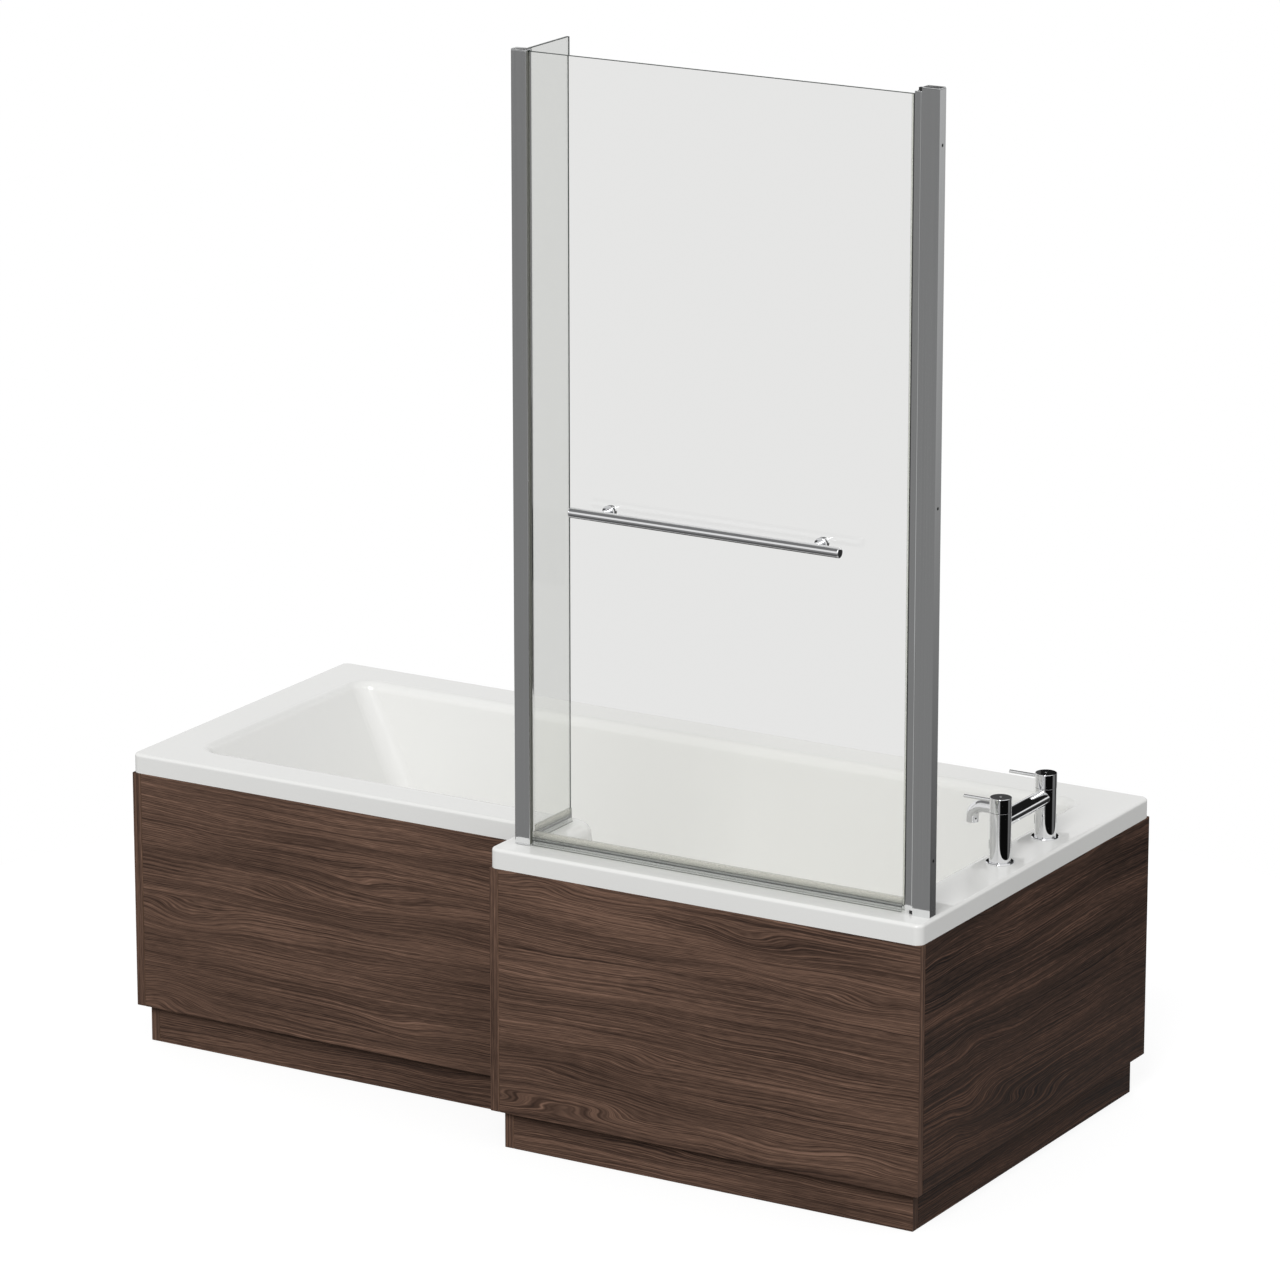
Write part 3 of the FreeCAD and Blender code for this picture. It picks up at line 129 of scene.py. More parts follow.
# Base board and rim rails: a particle board bonded under the floor, and four sawn softwood
# rails bonded under the deck. Both are set in the wet resin of the shell's back.

# Sawn spruce gives pale straight grain lines a few millimetres apart.
spruce, tree, place = start("sawn_spruce")
lines = add(
    tree, "Mapping", {"Vector": place, "Scale": (0.25, 0.006, 0.006)}, vector_type="TEXTURE"
)
grain = add(tree, "TexNoise", {"Vector": lines.outputs[0], "Scale": 1.0, "Detail": 3.0})
wood = add(tree, "ValToRGB", {"Fac": grain.outputs[0]}, ramp=[
    (0.3, linear("A9814F")), (0.5, linear("CDA873")), (0.7, linear("DDBE8E")),
])
saw = add(tree, "Bump", {"Height": grain.outputs[0], "Strength": 0.3, "Distance": 0.0005})
close(tree, {"Base Color": wood.outputs[0], "Roughness": 0.75, "Normal": saw.outputs[0]})
paint(spruce, "rim_rails")

# Particle board gives pressed flakes of mixed tone, 4 to 10 mm long.
chips, tree, place = start("particle_board")
flakes = add(tree, "TexVoronoi", {"Vector": place, "Scale": 1 / 0.007, "Randomness": 1.0})
tones = add(tree, "ValToRGB", {"Fac": flakes.outputs["Color"]}, ramp=[
    (0.1, linear("8A6A40")), (0.5, linear("B8935F")), (0.9, linear("D6B682")),
])
press = add(tree, "Bump", {"Height": flakes.outputs[0], "Strength": 0.25, "Distance": 0.0006})
close(tree, {"Base Color": tones.outputs[0], "Roughness": 0.8, "Normal": press.outputs[0]})
paint(chips, "base_board")

# Cradle: three pressed bars screwed to the base board, six threaded studs with two nuts each,
# six moulded feet, and two cranked brackets that hook the back rim to the wall.

# Zinc plate over pressed steel gives a bluish grey with a soft cloudy spangle.
zinc, tree, place = start("zinc_plated_steel")
spangle = add(tree, "TexVoronoi", {"Vector": place, "Scale": 1 / 0.006})
cloud = add(tree, "Mix", {
    0: spangle.outputs["Color"], 6: linear("A9AFB5"), 7: linear("CBD0D4"),
}, data_type="RGBA")
dull = add(tree, "MapRange", {"Value": spangle.outputs["Color"], "To Min": 0.28, "To Max": 0.42})
close(tree, {"Base Color": cloud.outputs[2], "Metallic": 1.0, "Roughness": dull.outputs[0]})
paint(zinc, "leg_bars", "leg_studs", "leg_nuts", "wall_brackets")

# Moulded nylon gives a near black with a fine spark-eroded grain of about half a millimetre,
# drawn at 1.5 mm so that it shows.
nylon, tree, place = start("moulded_black_nylon")
spark = add(tree, "TexNoise", {"Vector": place, "Scale": 1 / 0.0015, "Detail": 2.0})
worn = add(
    tree, "Mix", {0: spark.outputs[0], 6: linear("121212"), 7: linear("242424")}, data_type="RGBA"
)
pitted = add(tree, "Bump", {"Height": spark.outputs[0], "Strength": 0.3, "Distance": 0.0002})
close(tree, {"Base Color": worn.outputs[2], "Roughness": 0.5, "Normal": pitted.outputs[0]})
paint(nylon, "leg_feet")

# Waste and overflow: a cast flange with a cross under it, a click plug on its stem, a rubber
# seal, and a moulded body, elbow, pipe and trap that screw together below the floor.

# Chrome plate over polished brass mirrors what is round it, with faint wiped marks.
chrome, tree, place = start("chrome_plate")
wiped = add(tree, "TexNoise", {"Vector": place, "Scale": 1 / 0.03, "Detail": 3.0})
mirror = add(tree, "MapRange", {"Value": wiped.outputs[0], "To Min": 0.02, "To Max": 0.06})
silver = add(
    tree, "Mix", {0: wiped.outputs[0], 6: linear("E4E5E7"), 7: linear("F0F0F1")}, data_type="RGBA"
)
close(tree, {"Base Color": silver.outputs[2], "Metallic": 1.0, "Roughness": mirror.outputs[0]})
paint(chrome, "waste_flange", "waste_plug", "overflow_cover")

# Moulded rubber gives a soft black with a dusty bloom.
rubber, tree, place = start("moulded_rubber")
bloom = add(tree, "TexNoise", {"Vector": place, "Scale": 1 / 0.008, "Detail": 4.0})
dusty = add(
    tree, "Mix", {0: bloom.outputs[0], 6: linear("101010"), 7: linear("2A2A29")}, data_type="RGBA"
)
close(tree, {"Base Color": dusty.outputs[2], "Roughness": 0.7})
paint(rubber, "waste_seal")

# Polypropylene gives a slightly waxy white with faint flow marks from the mould.
polypropylene, tree, place = start("white_polypropylene")
flow = add(tree, "TexNoise", {
    "Vector": place, "Scale": 1 / 0.025, "Detail": 2.0, "Distortion": 1.0,
})
waxy = add(
    tree, "Mix", {0: flow.outputs[0], 6: linear("DEDEDA"), 7: linear("EAEAE6")}, data_type="RGBA"
)
wax = add(tree, "MapRange", {"Value": flow.outputs[0], "To Min": 0.3, "To Max": 0.42})
close(tree, {"Base Color": waxy.outputs[2], "Roughness": wax.outputs[0], "IOR": 1.49})
paint(polypropylene, "waste_body", "bath_trap", "overflow_elbow", "overflow_pipe")

# Plinths and panels: 18 mm boards faced with dark walnut laminate, edged with a band of the
# same, and plain behind. The plinths stand back under the panels, which hang under the rim.


def walnut(name, centre, along, out, sway, tones):
    """Walnut laminate, printed matt, whose grain runs along a board. Fine reddish light and dark
    lines 2 to 4 mm apart run nearly straight, and bend round arches and eyes in a few places."""
    made, tree, place = start(name)
    tilt = Matrix((along, Vector(out).cross(Vector(along)), out)).transposed().to_euler()
    board = add(tree, "Mapping", {
        "Vector": place, "Location": centre, "Rotation": tilt,
    }, vector_type="TEXTURE")
    axes = add(tree, "SeparateXYZ", {0: board.outputs[0]})
    rise = axes.outputs[1]
    patches = add(tree, "Mapping", {
        "Vector": board.outputs[0], "Location": (0.4, 0.1, 0), "Scale": (0.34, 0.13, 1.0),
    }, vector_type="TEXTURE")
    patch = add(tree, "TexNoise", {
        "Vector": patches.outputs[0], "Scale": 1.0, "Detail": 0.0,
    }, noise_dimensions="2D")
    arched = add(tree, "MapRange", {
        "Value": patch.outputs[0], "From Min": 0.56, "From Max": 0.78,
        "To Min": 0.25, "To Max": 1.0,
    }, interpolation_type="SMOOTHSTEP")
    for length, height, share, held in (
        (0.5, 0.13, 1.0, arched.outputs[0]), (0.2, 0.035, 0.1, 1.0), (0.06, 0.012, 0.02, 1.0),
    ):
        slow = add(tree, "Mapping", {
            "Vector": board.outputs[0], "Scale": (length, height, 1.0),
        }, vector_type="TEXTURE")
        wave = add(tree, "TexNoise", {
            "Vector": slow.outputs[0], "Scale": 1.0, "Detail": 1.0,
        }, noise_dimensions="2D")
        lift = add(tree, "Math", {0: wave.outputs[0], 1: 0.5}, operation="SUBTRACT")
        bent = add(tree, "Math", {0: lift.outputs[0], 1: held}, operation="MULTIPLY")
        rise = add(tree, "Math", {
            0: bent.outputs[0], 1: sway * share, 2: rise,
        }, operation="MULTIPLY_ADD").outputs[0]
    path = add(tree, "CombineXYZ", {0: axes.outputs[0], 1: rise})
    toned = 0.0
    for length, height, detail, share in (
        (0.5, 0.05, 2.0, 0.55), (0.8, 0.0042, 1.0, 0.5), (0.5, 0.0015, 1.0, 1.0),
        (0.03, 0.0011, 1.0, 0.55),
    ):
        lines = add(tree, "Mapping", {
            "Vector": path.outputs[0], "Scale": (length, height, 1.0),
        }, vector_type="TEXTURE")
        line = add(tree, "TexNoise", {
            "Vector": lines.outputs[0], "Scale": 1.0, "Detail": detail, "Roughness": 0.55,
        }, noise_dimensions="2D")
        toned = add(tree, "Math", {
            0: line.outputs[0], 1: share, 2: toned,
        }, operation="MULTIPLY_ADD").outputs[0]
    tone = add(tree, "MapRange", {"Value": toned, "From Min": 0.92, "From Max": 1.68})
    printed = add(tree, "ValToRGB", {"Fac": tone.outputs[0]}, ramp=[
        (at, linear(code)) for at, code in zip((0.0, 0.3, 0.55, 0.8, 1.0), tones)
    ])
    matt = add(tree, "MapRange", {"Value": tone.outputs[0], "To Min": 0.5, "To Max": 0.62})
    close(tree, {
        "Base Color": printed.outputs[0], "Roughness": matt.outputs[0], "Specular IOR Level": 0.03,
    })
    return made


# The board's back has plain brown balancing paper, with a faint pulp mottle.
paper, tree, place = start("balancing_paper")
pulp = add(tree, "TexNoise", {"Vector": place, "Scale": 1 / 0.02, "Detail": 5.0})
brown = add(
    tree, "Mix", {0: pulp.outputs[0], 6: linear("6B5138"), 7: linear("836647")}, data_type="RGBA"
)
close(tree, {"Base Color": brown.outputs[2], "Roughness": 0.7})

round_edge = math.radians(40)


def put(form, name, materials, body, slot, *nodes):
    """Makes a form a piece of the object: smooth over its rounded edges, on its body, in the
    place of its CAD nodes."""
    for face in form.faces:
        face.smooth = True
    for edge in form.edges:
        edge.smooth = len(edge.link_faces) == 2 and edge.calc_face_angle() < round_edge
    mesh = bpy.data.meshes.new(name)
    form.to_mesh(mesh)
    form.free()
    if "custom_normal" in mesh.attributes:
        mesh.attributes.remove(mesh.attributes["custom_normal"])
    for material in materials:
        mesh.materials.append(material)
    piece = bpy.data.objects.new(name, mesh)
    bpy.context.scene.collection.objects.link(piece)
    shade = piece.modifiers.new("flat_faces", "WEIGHTED_NORMAL")
    shade.keep_sharp = True
    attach(piece, body)
    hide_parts(*nodes)


board_edge = 0.0012
face_sway = 0.1
band_sway = 0.03
front_sheet = ("362A25", "4E3C33", "614C41", "755B4D", "8A6D5D")
# The end panels and end plinths print the same walnut darker: painted shade for the ends of the
# bath.
end_sheet_painted_shade = ("1D1614", "342822", "47362E", "5B453A", "705548")
ends = ("left_end_panel", "right_end_panel", "plinth_left", "plinth_right")
# Each board shows another place of the printed sheet, so its pattern is moved on by this much.
next_along = 0.37
next_up = 0.61
upright = Vector((0, 0, 1))
boards = {
    "plinth_left": (-1, 0, 0), "plinth_front_narrow": (0, -1, 0), "plinth_step": (-1, 0, 0),
    "plinth_front_wide": (0, -1, 0), "plinth_right": (1, 0, 0), "left_end_panel": (-1, 0, 0),
    "front_panel_narrow": (0, -1, 0), "step_panel": (-1, 0, 0), "front_panel_wide": (0, -1, 0),
    "right_end_panel": (1, 0, 0),
}
for count, (node, out) in enumerate(boards.items()):
    low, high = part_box(node)
    out = Vector(out)
    level = upright.cross(out)
    middle = (low + high) / 2
    centre = middle + level * count * next_along + upright * count * next_up
    form = bmesh.new()
    bmesh.ops.create_cube(form, size=1.0)
    bmesh.ops.scale(form, vec=high - low, verts=form.verts)
    bmesh.ops.translate(form, vec=middle, verts=form.verts)
    bmesh.ops.bevel(
        form, geom=form.edges[:], offset=board_edge, offset_type="OFFSET", affect="EDGES",
        segments=2, profile=0.5, material=-1,
    )
    # The back gets the paper, both ends the edge band, and the rest the face sheet.
    for face in form.faces:
        if face.normal.dot(out) < -0.9:
            face.material_index = 2
        elif abs(face.normal.dot(level)) > 0.5:
            face.material_index = 1
    # End boards take the darker print, which is painted shade.
    sheet = end_sheet_painted_shade if node in ends else front_sheet
    faces = walnut("walnut_" + node, centre, level, out, face_sway, sheet)
    bands = walnut("walnut_band_" + node, centre, upright, level, band_sway, front_sheet)
    put(form, node + "_board", (faces, bands, paper), "bath", "walnut_board", node)

# Bath filler: two plated pillars on escutcheons, joined by a bridge with a short spout. Brass
# tails and back nuts hold it through the deck, and a pin lever turns each quarter-turn handle.
sharp_edge = math.radians(35)
flat_join = math.radians(0.5)
lathe_steps = 96


def ease(node, width):
    """A merged copy of a CAD node whose sharp edges are broken, as on the real piece."""
    form = bmesh.new()
    form.from_mesh(frame["nodes"][node].data)
    bmesh.ops.remove_doubles(form, verts=form.verts, dist=1e-6)
    bmesh.ops.dissolve_limit(
        form, angle_limit=flat_join, verts=form.verts, edges=form.edges, delimit={"NORMAL"}
    )
    sharp = [e for e in form.edges if len(e.link_faces) == 2 and e.calc_face_angle() > sharp_edge]
    bmesh.ops.bevel(
        form, geom=sharp, offset=width, offset_type="OFFSET", affect="EDGES", segments=2,
        profile=0.5, clamp_overlap=True, material=-1,
    )
    return form


def turn(form, section, spot, toward, soft):
    """Adds a piece turned on a lathe: a closed section of (radius, height) in millimetres, spun
    round a line from a spot, with its edges broken by a soft width in millimetres."""
    lathe = bmesh.new()
    line = [lathe.verts.new((radius, 0, height)) for radius, height in section]
    for one, other in zip(line, line[1:] + line[:1]):
        if one.co.x + other.co.x > 0:
            lathe.edges.new((one, other))
    bmesh.ops.spin(
        lathe, geom=lathe.verts[:] + lathe.edges[:], cent=(0, 0, 0), axis=(0, 0, 1),
        angle=math.tau, steps=lathe_steps, use_merge=True, use_duplicate=False,
    )
    bmesh.ops.remove_doubles(lathe, verts=lathe.verts, dist=1e-4)
    bmesh.ops.recalc_face_normals(lathe, faces=lathe.faces)
    sharp = [e for e in lathe.edges if len(e.link_faces) == 2 and e.calc_face_angle() > sharp_edge]
    bmesh.ops.bevel(
        lathe, geom=sharp, offset=soft, offset_type="OFFSET", affect="EDGES", segments=3,
        profile=0.5, clamp_overlap=True, material=-1,
    )
    bmesh.ops.scale(lathe, vec=(0.001, 0.001, 0.001), verts=lathe.verts)
    swing = upright.rotation_difference(Vector(toward)).to_matrix()
    bmesh.ops.rotate(lathe, cent=(0, 0, 0), matrix=swing, verts=lathe.verts)
    bmesh.ops.translate(lathe, vec=spot, verts=lathe.verts)
    spare = bpy.data.meshes.new("spare")
    lathe.to_mesh(spare)
    lathe.free()
    form.from_mesh(spare)
    bpy.data.meshes.remove(spare)


tap_edge = 0.0003
plate_section = [(13.1, 0), (25, 0), (25, 2.2), (23.4, 3.5), (13.1, 3.5)]
dot_section = [(0, 0), (2.0, 0), (2.0, 0.6), (1.4, 0.9), (0, 1.0)]
dot_sunk = 0.0005
plates = bmesh.new()
for pillar in ("hot_pillar", "cold_pillar"):
    low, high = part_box(pillar)
    foot = ((low.x + high.x) / 2, (low.y + high.y) / 2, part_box("tap_escutcheons")[0].z)
    turn(plates, plate_section, foot, upright, 0.5)
    put(ease(pillar, tap_edge), pillar + "_eased", (chrome,), "bath", "chrome", pillar)
put(plates, "escutcheons", (chrome,), "bath", "chrome", "tap_escutcheons")
for side in ("hot", "cold"):
    knob = ease(side + "_handle", tap_edge)
    low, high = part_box(side + "_handle")
    top = ((low.x + high.x) / 2, (low.y + high.y) / 2, high.z - dot_sunk)
    turn(knob, dot_section, top, upright, 0.2)
    put(knob, side + "_handle_eased", (chrome,), side + "_control", "chrome", side + "_handle")
paint(chrome, "bridge_tube", "spout", "aerator", "hot_lever", "cold_lever")

# Machined brass gives a warm yellow with turning marks about 0.4 mm apart, drawn at 1.5 mm.
brass, tree, place = start("machined_brass")
turning = add(tree, "TexWave", {
    "Vector": place, "Scale": 1 / 0.0015 / 20, "Distortion": 0.5,
}, bands_direction="Z")
yellow = add(
    tree, "Mix", {0: turning.outputs[1], 6: linear("B58E48"), 7: linear("D2AC68")}, data_type="RGBA"
)
close(tree, {"Base Color": yellow.outputs[2], "Metallic": 1.0, "Roughness": 0.28})
paint(brass, "tap_tails", "tap_back_nuts", "tap_cartridges", "hot_spindle", "cold_spindle")

# Screen, fixed part: an extruded channel screwed to the wall, a pivot profile slid into it,
# pressed caps, and two brackets that carry the hinge pin.

# Polished and anodised aluminium mirrors softly. Drawing through the die leaves fine lines
# along the length, about 0.5 mm apart, drawn at 2 mm.
aluminium, tree, place = start("polished_aluminium")
drawn = add(tree, "Mapping", {"Vector": place, "Scale": (0.002, 0.002, 0.9)}, vector_type="TEXTURE")
die = add(tree, "TexNoise", {"Vector": drawn.outputs[0], "Scale": 1.0, "Detail": 2.0})
bright = add(
    tree, "Mix", {0: die.outputs[0], 6: linear("E2E3E4"), 7: linear("EEEFEF")}, data_type="RGBA"
)
satin = add(tree, "MapRange", {"Value": die.outputs[0], "To Min": 0.04, "To Max": 0.1})
close(tree, {"Base Color": bright.outputs[2], "Metallic": 1.0, "Roughness": satin.outputs[0]})
profile_edge = 0.0006
for node in ("wall_channel", "channel_cap", "pivot_profile"):
    form = ease(node, profile_edge)
    put(form, node + "_eased", (aluminium,), "bath", "polished_aluminium", node)
paint(nylon, "hinge_brackets")

# Screen, swinging part: the hinge profile and the corner post grip the two panes. Grey glazing
# strip lines the post's groove beside the wide pane, and caps close the post at both ends.
for node in ("hinge_profile", "post_caps"):
    form = ease(node, profile_edge)
    put(form, node + "_eased", (aluminium,), "screen", "polished_aluminium", node)

# Soft grey glazing strip is a matt extrusion with a faint chalky bloom.
glazing, tree, place = start("grey_glazing_strip")
bloom = add(tree, "TexNoise", {"Vector": place, "Scale": 1 / 0.01, "Detail": 3.0})
chalky = add(
    tree, "Mix", {0: bloom.outputs[0], 6: linear("6E6F69"), 7: linear("7C7D77")}, data_type="RGBA"
)
close(tree, {"Base Color": chalky.outputs[2], "Roughness": 0.6, "Specular IOR Level": 0.2})
post = ease("corner_post", profile_edge)
low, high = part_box("corner_post")
pane_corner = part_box("main_glass")[0]
groove_depth = 0.002
groove_half = 0.0045
for face in post.faces:
    spot = face.calc_center_median()
    beside = face.normal.x > 0.9 and spot.y < pane_corner.y
    in_line = abs(spot.y - (low.y + high.y) / 2) < groove_half
    within = in_line and spot.x > pane_corner.x - groove_depth
    face.material_index = 1 if beside or within else 0
put(post, "corner_post_eased", (aluminium, glazing), "screen", "polished_aluminium", "corner_post")

# Panes: 6 mm toughened float glass with ground and polished edges, a wide pane and a short
# return that the post holds square to it. Iron in the glass shows green at the edges.


def close_clear(tree, sockets, passed):
    """Ends a see-through material in one Principled shader. Light on its way to what lies behind
    passes straight through, in a colour of its own."""
    shader = add(tree, "BsdfPrincipled", sockets)
    through = add(tree, "BsdfTransparent", {"Color": linear(passed)})
    ray = add(tree, "LightPath", {})
    passing = add(tree, "Math", {
        0: ray.outputs["Is Shadow Ray"], 1: ray.outputs["Is Diffuse Ray"],
    }, operation="MAXIMUM")
    lit = add(tree, "MixShader", {
        0: passing.outputs[0], 1: shader.outputs[0], 2: through.outputs[0],
    })
    add(tree, "OutputMaterial", {"Surface": lit.outputs[0]})


def float_glass(name, tint):
    """Toughened float glass, clear and mirror smooth, with a faint tint and the thinnest film of
    drying marks."""
    made, tree, place = start(name)
    film = add(tree, "TexNoise", {"Vector": place, "Scale": 1 / 0.25, "Detail": 2.0})
    clean = add(tree, "MapRange", {"Value": film.outputs[0], "To Min": 0.0, "To Max": 0.003})
    close_clear(tree, {
        "Base Color": linear(tint), "Roughness": clean.outputs[0], "IOR": 1.52,
        "Transmission Weight": 1.0,
    }, "FFFFFE")
    return made


# The ground and polished edge is painted an opaque dark green: the green of iron in the glass, with
# painted shade for the depth of the pane seen through it.
glass_edge_painted_depth, tree, place = start("polished_glass_edge_painted_depth")
depth = add(tree, "TexNoise", {"Vector": place, "Scale": 1 / 0.05, "Detail": 1.0})
green = add(
    tree, "Mix", {0: depth.outputs[0], 6: linear("1B2420"), 7: linear("2A3630")}, data_type="RGBA"
)
close(tree, {"Base Color": green.outputs[2], "Roughness": 0.2, "Specular IOR Level": 0.1})
# Bare edges take that painted dark edge: the top of the wide pane, and the top and the free end of
# the return.
for node, tint, shown in (
    # The return's tint is darker than the wide pane's, though both are the same glass: painted
    # shade.
    ("main_glass", "FFFFFE", (0, 0, 1)), ("return_glass", "EFF0EE", (0, 1, 1)),
):
    form = ease(node, profile_edge)
    for face in form.faces:
        face.material_index = 1 if face.normal.dot(Vector(shown)) > 0.3 else 0
    glass = float_glass("toughened_float_" + node, tint)
    put(form, node + "_eased", (glass, glass_edge_painted_depth), "screen", "clear_glass", node)

# Seals: soft clear vinyl extrusions. Two grip the lower edges of the panes and sweep the
# deck, and one closes the hinge line. Its end at the hinge profile is black: painted shade there.
vinyl_height = 25


def clear_vinyl(name, low, stops):
    """Clear soft vinyl whose tone is set by its height, so that it can carry bands of painted shade
    and painted reflection. The stops are heights in millimetres over its lower edge, with the tone
    there."""
    made, tree, place = start(name)
    axes = add(tree, "SeparateXYZ", {0: place})
    height = add(tree, "MapRange", {
        "Value": axes.outputs[2], "From Min": low, "From Max": low + vinyl_height / 1000,
    })
    body = add(tree, "ValToRGB", {"Fac": height.outputs[0]}, ramp=[
        (at / vinyl_height, linear(code)) for at, code in stops
    ])
    haze = add(tree, "TexNoise", {"Vector": place, "Scale": 1 / 0.03, "Detail": 2.0})
    milky = add(tree, "MapRange", {"Value": haze.outputs[0], "To Min": 0.04, "To Max": 0.1})
    close_clear(tree, {
        "Base Color": body.outputs[0], "Roughness": milky.outputs[0], "IOR": 1.53,
        "Transmission Weight": 0.9,
    }, "E4E6E2")
    return made


seal_edge = 0.0004
lip_edge = 0.0002
shade_line_width = 0.0026
seal_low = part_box("main_seal")[0].z
# The sweep's dark and pale stops are painted shade and painted reflections of its lips.
sweep = clear_vinyl("clear_vinyl_sweep_painted_bands", seal_low, (
    (0, "747574"), (2, "D6D7D6"), (7, "E0E1E0"), (9, "626463"), (12, "B8BAB8"), (16, "D8D8D4"),
    (vinyl_height, "F2F1EC"),
))
for node in ("main_seal", "return_seal"):
    put(ease(node, seal_edge), node + "_eased", (sweep,), "screen", "clear_vinyl", node)
lip = clear_vinyl("clear_vinyl_lip", seal_low, ((0, "E2E3DE"), (vinyl_height, "E4E5E0")))
strip = ease("hinge_seal", lip_edge)
# From 2.6 mm before the hinge profile inward the seal takes the black rubber: a painted shade line
# along the profile.
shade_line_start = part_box("hinge_profile")[0].x - shade_line_width
bmesh.ops.bisect_plane(
    strip, geom=strip.verts[:] + strip.edges[:] + strip.faces[:], dist=1e-6,
    plane_co=(shade_line_start, 0, 0), plane_no=(1, 0, 0),
)
for face in strip.faces:
    face.material_index = 1 if face.calc_center_median().x > shade_line_start else 0
put(strip, "hinge_seal_eased", (lip, rubber), "screen", "clear_vinyl", "hinge_seal")

# Towel rail: a chrome tube with end caps, held off the pane by two stand-offs whose bolts
# pass through holes in the glass.
low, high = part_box("rail_tube")
middle = (low + high) / 2
# Half the length of the tube, in millimetres as the sections are.
half = (high.x - low.x) * 500
tube_section = [(7.8, -half), (9, -half), (9, half), (7.8, half)]
cap_section = [(0, -6), (7.7, -6), (7.7, 0), (9, 0), (9, 0.9), (8.1, 1.8), (0, 2)]
neck_section = [(3.1, 0), (11, 0), (11, 4.6), (6, 4.6), (6, 28.2), (3.1, 28.2)]
button_section = [(0, -5), (10, -5), (11, -4), (11, 0), (3, 0), (3, 22), (0, 22)]
collar_radius = 0.011
tube = bmesh.new()
turn(tube, tube_section, middle, (1, 0, 0), 0.2)
put(tube, "rail_tube_turned", (chrome,), "screen", "chrome", "rail_tube")
caps = bmesh.new()
for way in (-1, 1):
    end = middle + Vector((way * half / 1000, 0, 0))
    turn(caps, cap_section, end, (way, 0, 0), 0.3)
put(caps, "rail_end_caps_turned", (chrome,), "screen", "chrome", "rail_end_caps")
necks = bmesh.new()
buttons = bmesh.new()
low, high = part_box("rail_standoffs")
pane_front, pane_back = (corner.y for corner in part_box("main_glass"))
for x in (low.x + collar_radius, high.x - collar_radius):
    turn(necks, neck_section, (x, pane_front, middle.z), (0, -1, 0), 0.6)
    turn(buttons, button_section, (x, pane_back, middle.z), (0, -1, 0), 0.3)
put(necks, "rail_standoffs_turned", (chrome,), "screen", "chrome", "rail_standoffs")
put(buttons, "rail_bolts_turned", (chrome,), "screen", "chrome", "rail_bolts")

# Studio: a plain pale floor, a soft key light from the front, an even world, and one-sided
# flags that only reflections see. The floor shows one level to the camera, one in metal and
# one through glass, and bounces little light.
floor_radius = 1.75
floor_seen = 0.82
floor_in_metal = 0.7
floor_through_glass = 0.655
floor_material, tree = start("studio_floor")[:2]
ray = add(tree, "LightPath", {})
mirrored = add(tree, "Math", {
    0: ray.outputs["Is Glossy Ray"], 1: ray.outputs["Is Transmission Ray"],
}, operation="MAXIMUM")
watched = add(tree, "Math", {
    0: ray.outputs["Is Camera Ray"], 1: mirrored.outputs[0],
}, operation="MAXIMUM")
bounced = add(tree, "BsdfDiffuse", {"Color": linear("404040")})
shaded = add(tree, "BsdfDiffuse", {"Color": linear("8C8C8C")})
in_metal = add(tree, "MapRange", {
    "Value": ray.outputs["Is Glossy Ray"], "To Min": floor_seen, "To Max": floor_in_metal,
})
level = add(tree, "MapRange", {
    "Value": ray.outputs["Is Transmission Ray"], "To Min": in_metal.outputs[0],
    "To Max": floor_through_glass,
})
pale = add(tree, "Emission", {"Color": linear("FFFFFF"), "Strength": level.outputs[0]})
bright = add(tree, "AddShader", {0: shaded.outputs[0], 1: pale.outputs[0]})
shown = add(tree, "MixShader", {0: watched.outputs[0], 1: bounced.outputs[0], 2: bright.outputs[0]})
add(tree, "OutputMaterial", {"Surface": shown.outputs[0]})
floor_material.cycles.emission_sampling = "NONE"
form = bmesh.new()
bmesh.ops.create_circle(form, cap_ends=True, segments=96, radius=floor_radius)
mesh = bpy.data.meshes.new("studio_floor")
form.to_mesh(mesh)
form.free()
mesh.materials.append(floor_material)
floor = bpy.data.objects.new("studio_floor", mesh)
bpy.context.scene.collection.objects.link(floor)

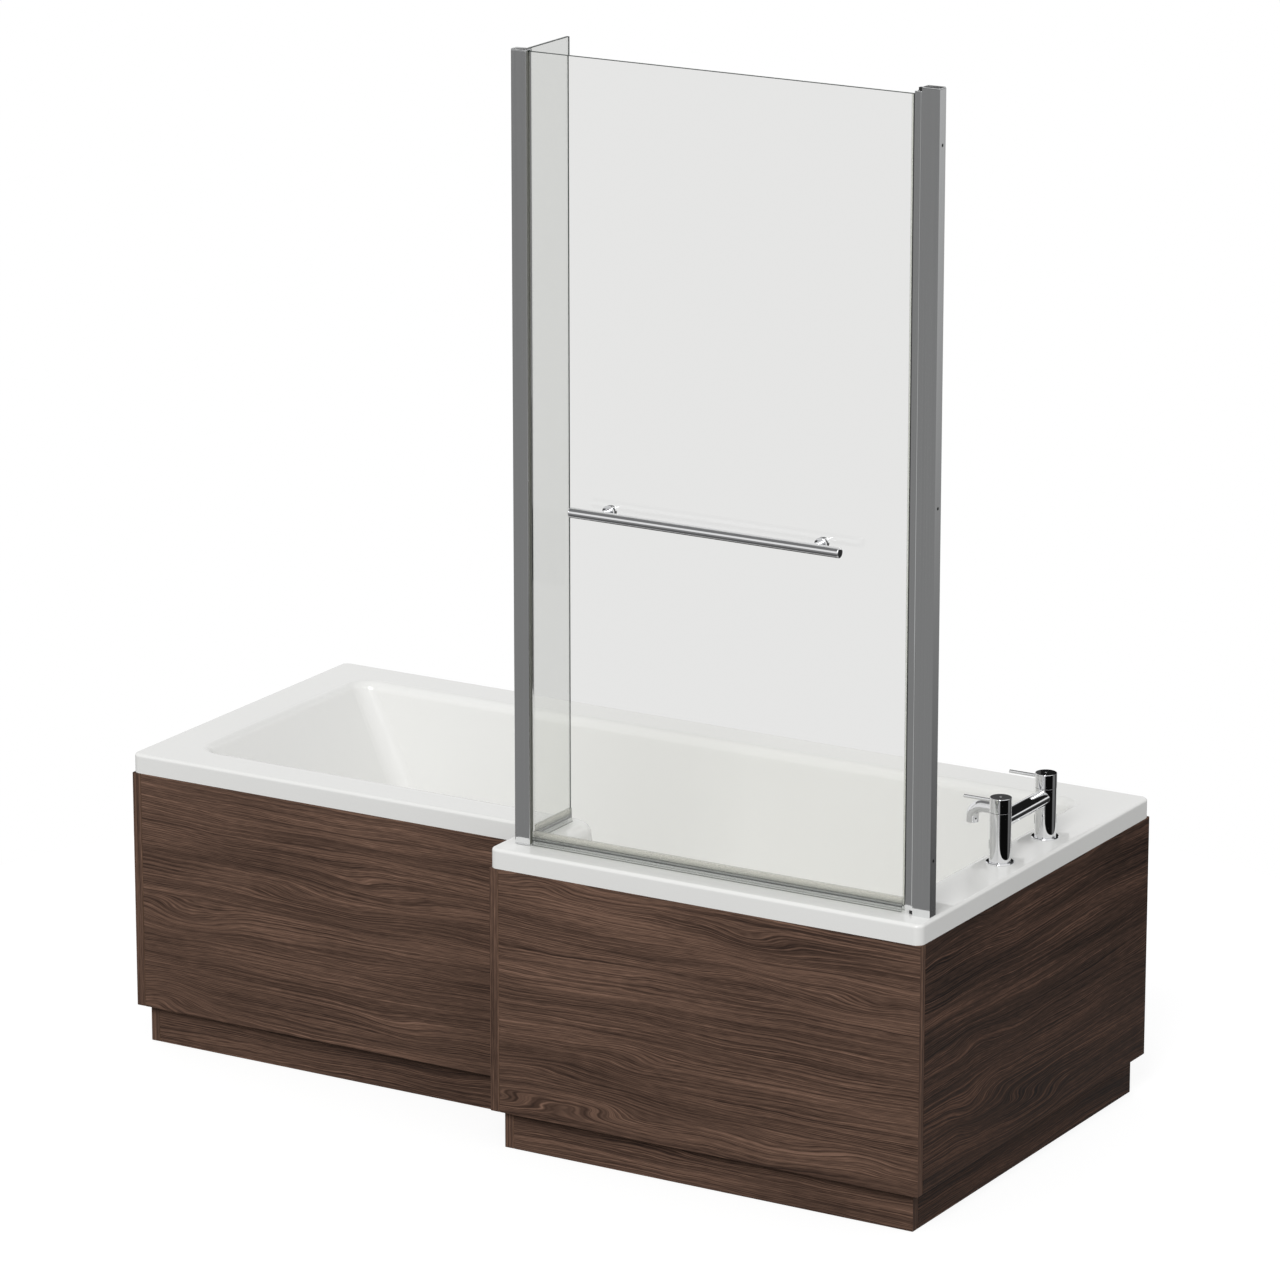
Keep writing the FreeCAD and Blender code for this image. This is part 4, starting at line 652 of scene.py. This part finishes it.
# Each flag has its middle, the way it faces, its width and height, and its level of light at
# the lower and the upper edge. The last four stand behind a piece as the camera sees it.
away = Vector((-0.493, 0.827, 0.27))
flags = {
    "flag_ground": ((0.0, 0.0, -0.02), (0, 0, 1), (24.0, 24.0), 0.225, 0.225),
    "flag_glow": ((0.4, -7.9, -0.019), (0, 0, 1), (2.0, 8.2), 0.45, 0.45),
    "flag_shine": ((0.95, -2.9, -0.019), (0, 0, 1), (0.9, 1.8), 0.5, 0.5),
    "flag_front": ((-0.15, -1.13, 0.001), (0, 0, 1), (2.1, 1.34), 0.2, 0.03),
    "flag_near": ((1.6, -0.85, 0.26), (-1, 0, 0), (2.3, 0.56), 0.004, 0.004),
    "flag_right": ((1.6, 0.7, 0.85), (-1, 0, 0), (0.8, 1.7), 0.06, 0.5),
    "flag_far": ((1.2, 0.94, 0.26), (-1, 0, 0), (0.76, 0.56), 0.03, 0.03),
    "flag_over": ((-1.2, 0.2, 3.2), (0, 0, -1), (3.6, 7.4), 0.2, 0.2),
    "flag_edge": ((0.8375, -0.3, 1.25), (0, -1, 0), (0.075, 1.42), 0.08, 0.08),
    "flag_rail": ((0.423, pane_front - 0.0005, 1.03), (0, -1, 0), (0.6, 0.26), 0.03, 0.03),
    "flag_taps": ((0.885, 0.45, 0.89), (0, -1, 0), (0.53, 0.42), 0.012, 0.012),
    "flag_tops": ((0.545, 0.45, 0.83), (0, -1, 0), (0.15, 0.14), 0.07, 0.07),
    "flag_hot": (Vector((0.8, -0.0495, 0.5535)) + away * 0.05, -away, (0.09, 0.018), 0.01, 0.01),
    "flag_cold": (Vector((0.8, 0.1185, 0.5535)) + away * 0.05, -away, (0.09, 0.018), 0.01, 0.01),
    "flag_post": (Vector((0.0465, -0.373, 1.94)) + away * 0.2, -away, (0.08, 0.04), 0.08, 0.08),
    "flag_channel": (Vector((0.8275, -0.373, 1.95)) + away * 0.2, -away, (0.09, 0.04), 0.08, 0.08),
}
for name, (spot, facing, size, low_level, high_level) in flags.items():
    dark, tree, place = start(name)
    axes = add(tree, "SeparateXYZ", {0: place})
    level = add(tree, "MapRange", {
        "Value": axes.outputs[1], "From Min": -size[1] / 2, "From Max": size[1] / 2,
        "To Min": low_level, "To Max": high_level,
    })
    glow = add(tree, "Emission", {"Color": linear("FFFFFF"), "Strength": level.outputs[0]})
    side = add(tree, "NewGeometry", {})
    bare = add(tree, "BsdfTransparent", {})
    faced = add(tree, "MixShader", {
        0: side.outputs["Backfacing"], 1: glow.outputs[0], 2: bare.outputs[0],
    })
    add(tree, "OutputMaterial", {"Surface": faced.outputs[0]})
    dark.cycles.emission_sampling = "NONE"
    form = bmesh.new()
    bmesh.ops.create_grid(form, x_segments=1, y_segments=1, size=0.5)
    bmesh.ops.scale(form, vec=(size[0], size[1], 1), verts=form.verts)
    mesh = bpy.data.meshes.new(name)
    form.to_mesh(mesh)
    form.free()
    mesh.materials.append(dark)
    flag = bpy.data.objects.new(name, mesh)
    flag.location = spot
    flag.rotation_euler = Vector(facing).to_track_quat("Z", "Y").to_euler()
    flag.visible_camera = False
    flag.visible_diffuse = False
    flag.visible_transmission = False
    flag.visible_shadow = False
    bpy.context.scene.collection.objects.link(flag)

ambient = 0.645
mirror_level = 0.86
glass_level = 0.815
world = bpy.data.worlds.new("studio")
bpy.context.scene.world = world
world.use_nodes = True
tree = world.node_tree
tree.nodes.clear()
ray = add(tree, "LightPath", {})
in_metal = add(tree, "MapRange", {
    "Value": ray.outputs["Is Glossy Ray"], "To Min": ambient, "To Max": mirror_level,
})
seen_level = add(tree, "MapRange", {
    "Value": ray.outputs["Is Transmission Ray"], "To Min": in_metal.outputs[0],
    "To Max": glass_level,
})
strength = add(tree, "Math", {
    0: ray.outputs["Is Camera Ray"], 1: seen_level.outputs[0],
}, operation="MAXIMUM")
sky = add(tree, "Background", {"Color": linear("FFFFFF"), "Strength": strength.outputs[0]})
add(tree, "OutputWorld", {"Surface": sky.outputs[0]})

key_direction = Vector((0.18, -0.765, 0.62))
key = bpy.data.lights.new("key", "SUN")
key.energy = 1.42
key.angle = math.radians(25)
lamp = bpy.data.objects.new("key", key)
lamp.rotation_euler = (-key_direction).to_track_quat("-Z", "Y").to_euler()
bpy.context.scene.collection.objects.link(lamp)

# Camera: a long lens at the front right, a little above the rim, looking down at the object.
# It is level and unshifted, so that it can be moved to other sides.
azimuth = math.radians(30.808)
elevation = math.radians(15.693)
back = Vector((
    math.sin(azimuth) * math.cos(elevation), -math.cos(azimuth) * math.cos(elevation),
    math.sin(elevation),
))
lens = bpy.data.cameras.new("camera")
lens.sensor_width = 36.0
lens.lens = 181.2
lens.clip_end = 100.0
camera = bpy.data.objects.new("camera", lens)
camera.location = (5.6481, -9.3801, 3.8940)
camera.rotation_euler = (-back).to_track_quat("-Z", "Y").to_euler()
bpy.context.scene.collection.objects.link(camera)
bpy.context.scene.camera = camera
bpy.context.scene.view_settings.view_transform = "Standard"
bpy.context.scene.cycles.max_bounces = 16
bpy.context.scene.cycles.diffuse_bounces = 10
bpy.context.scene.cycles.transparent_max_bounces = 16
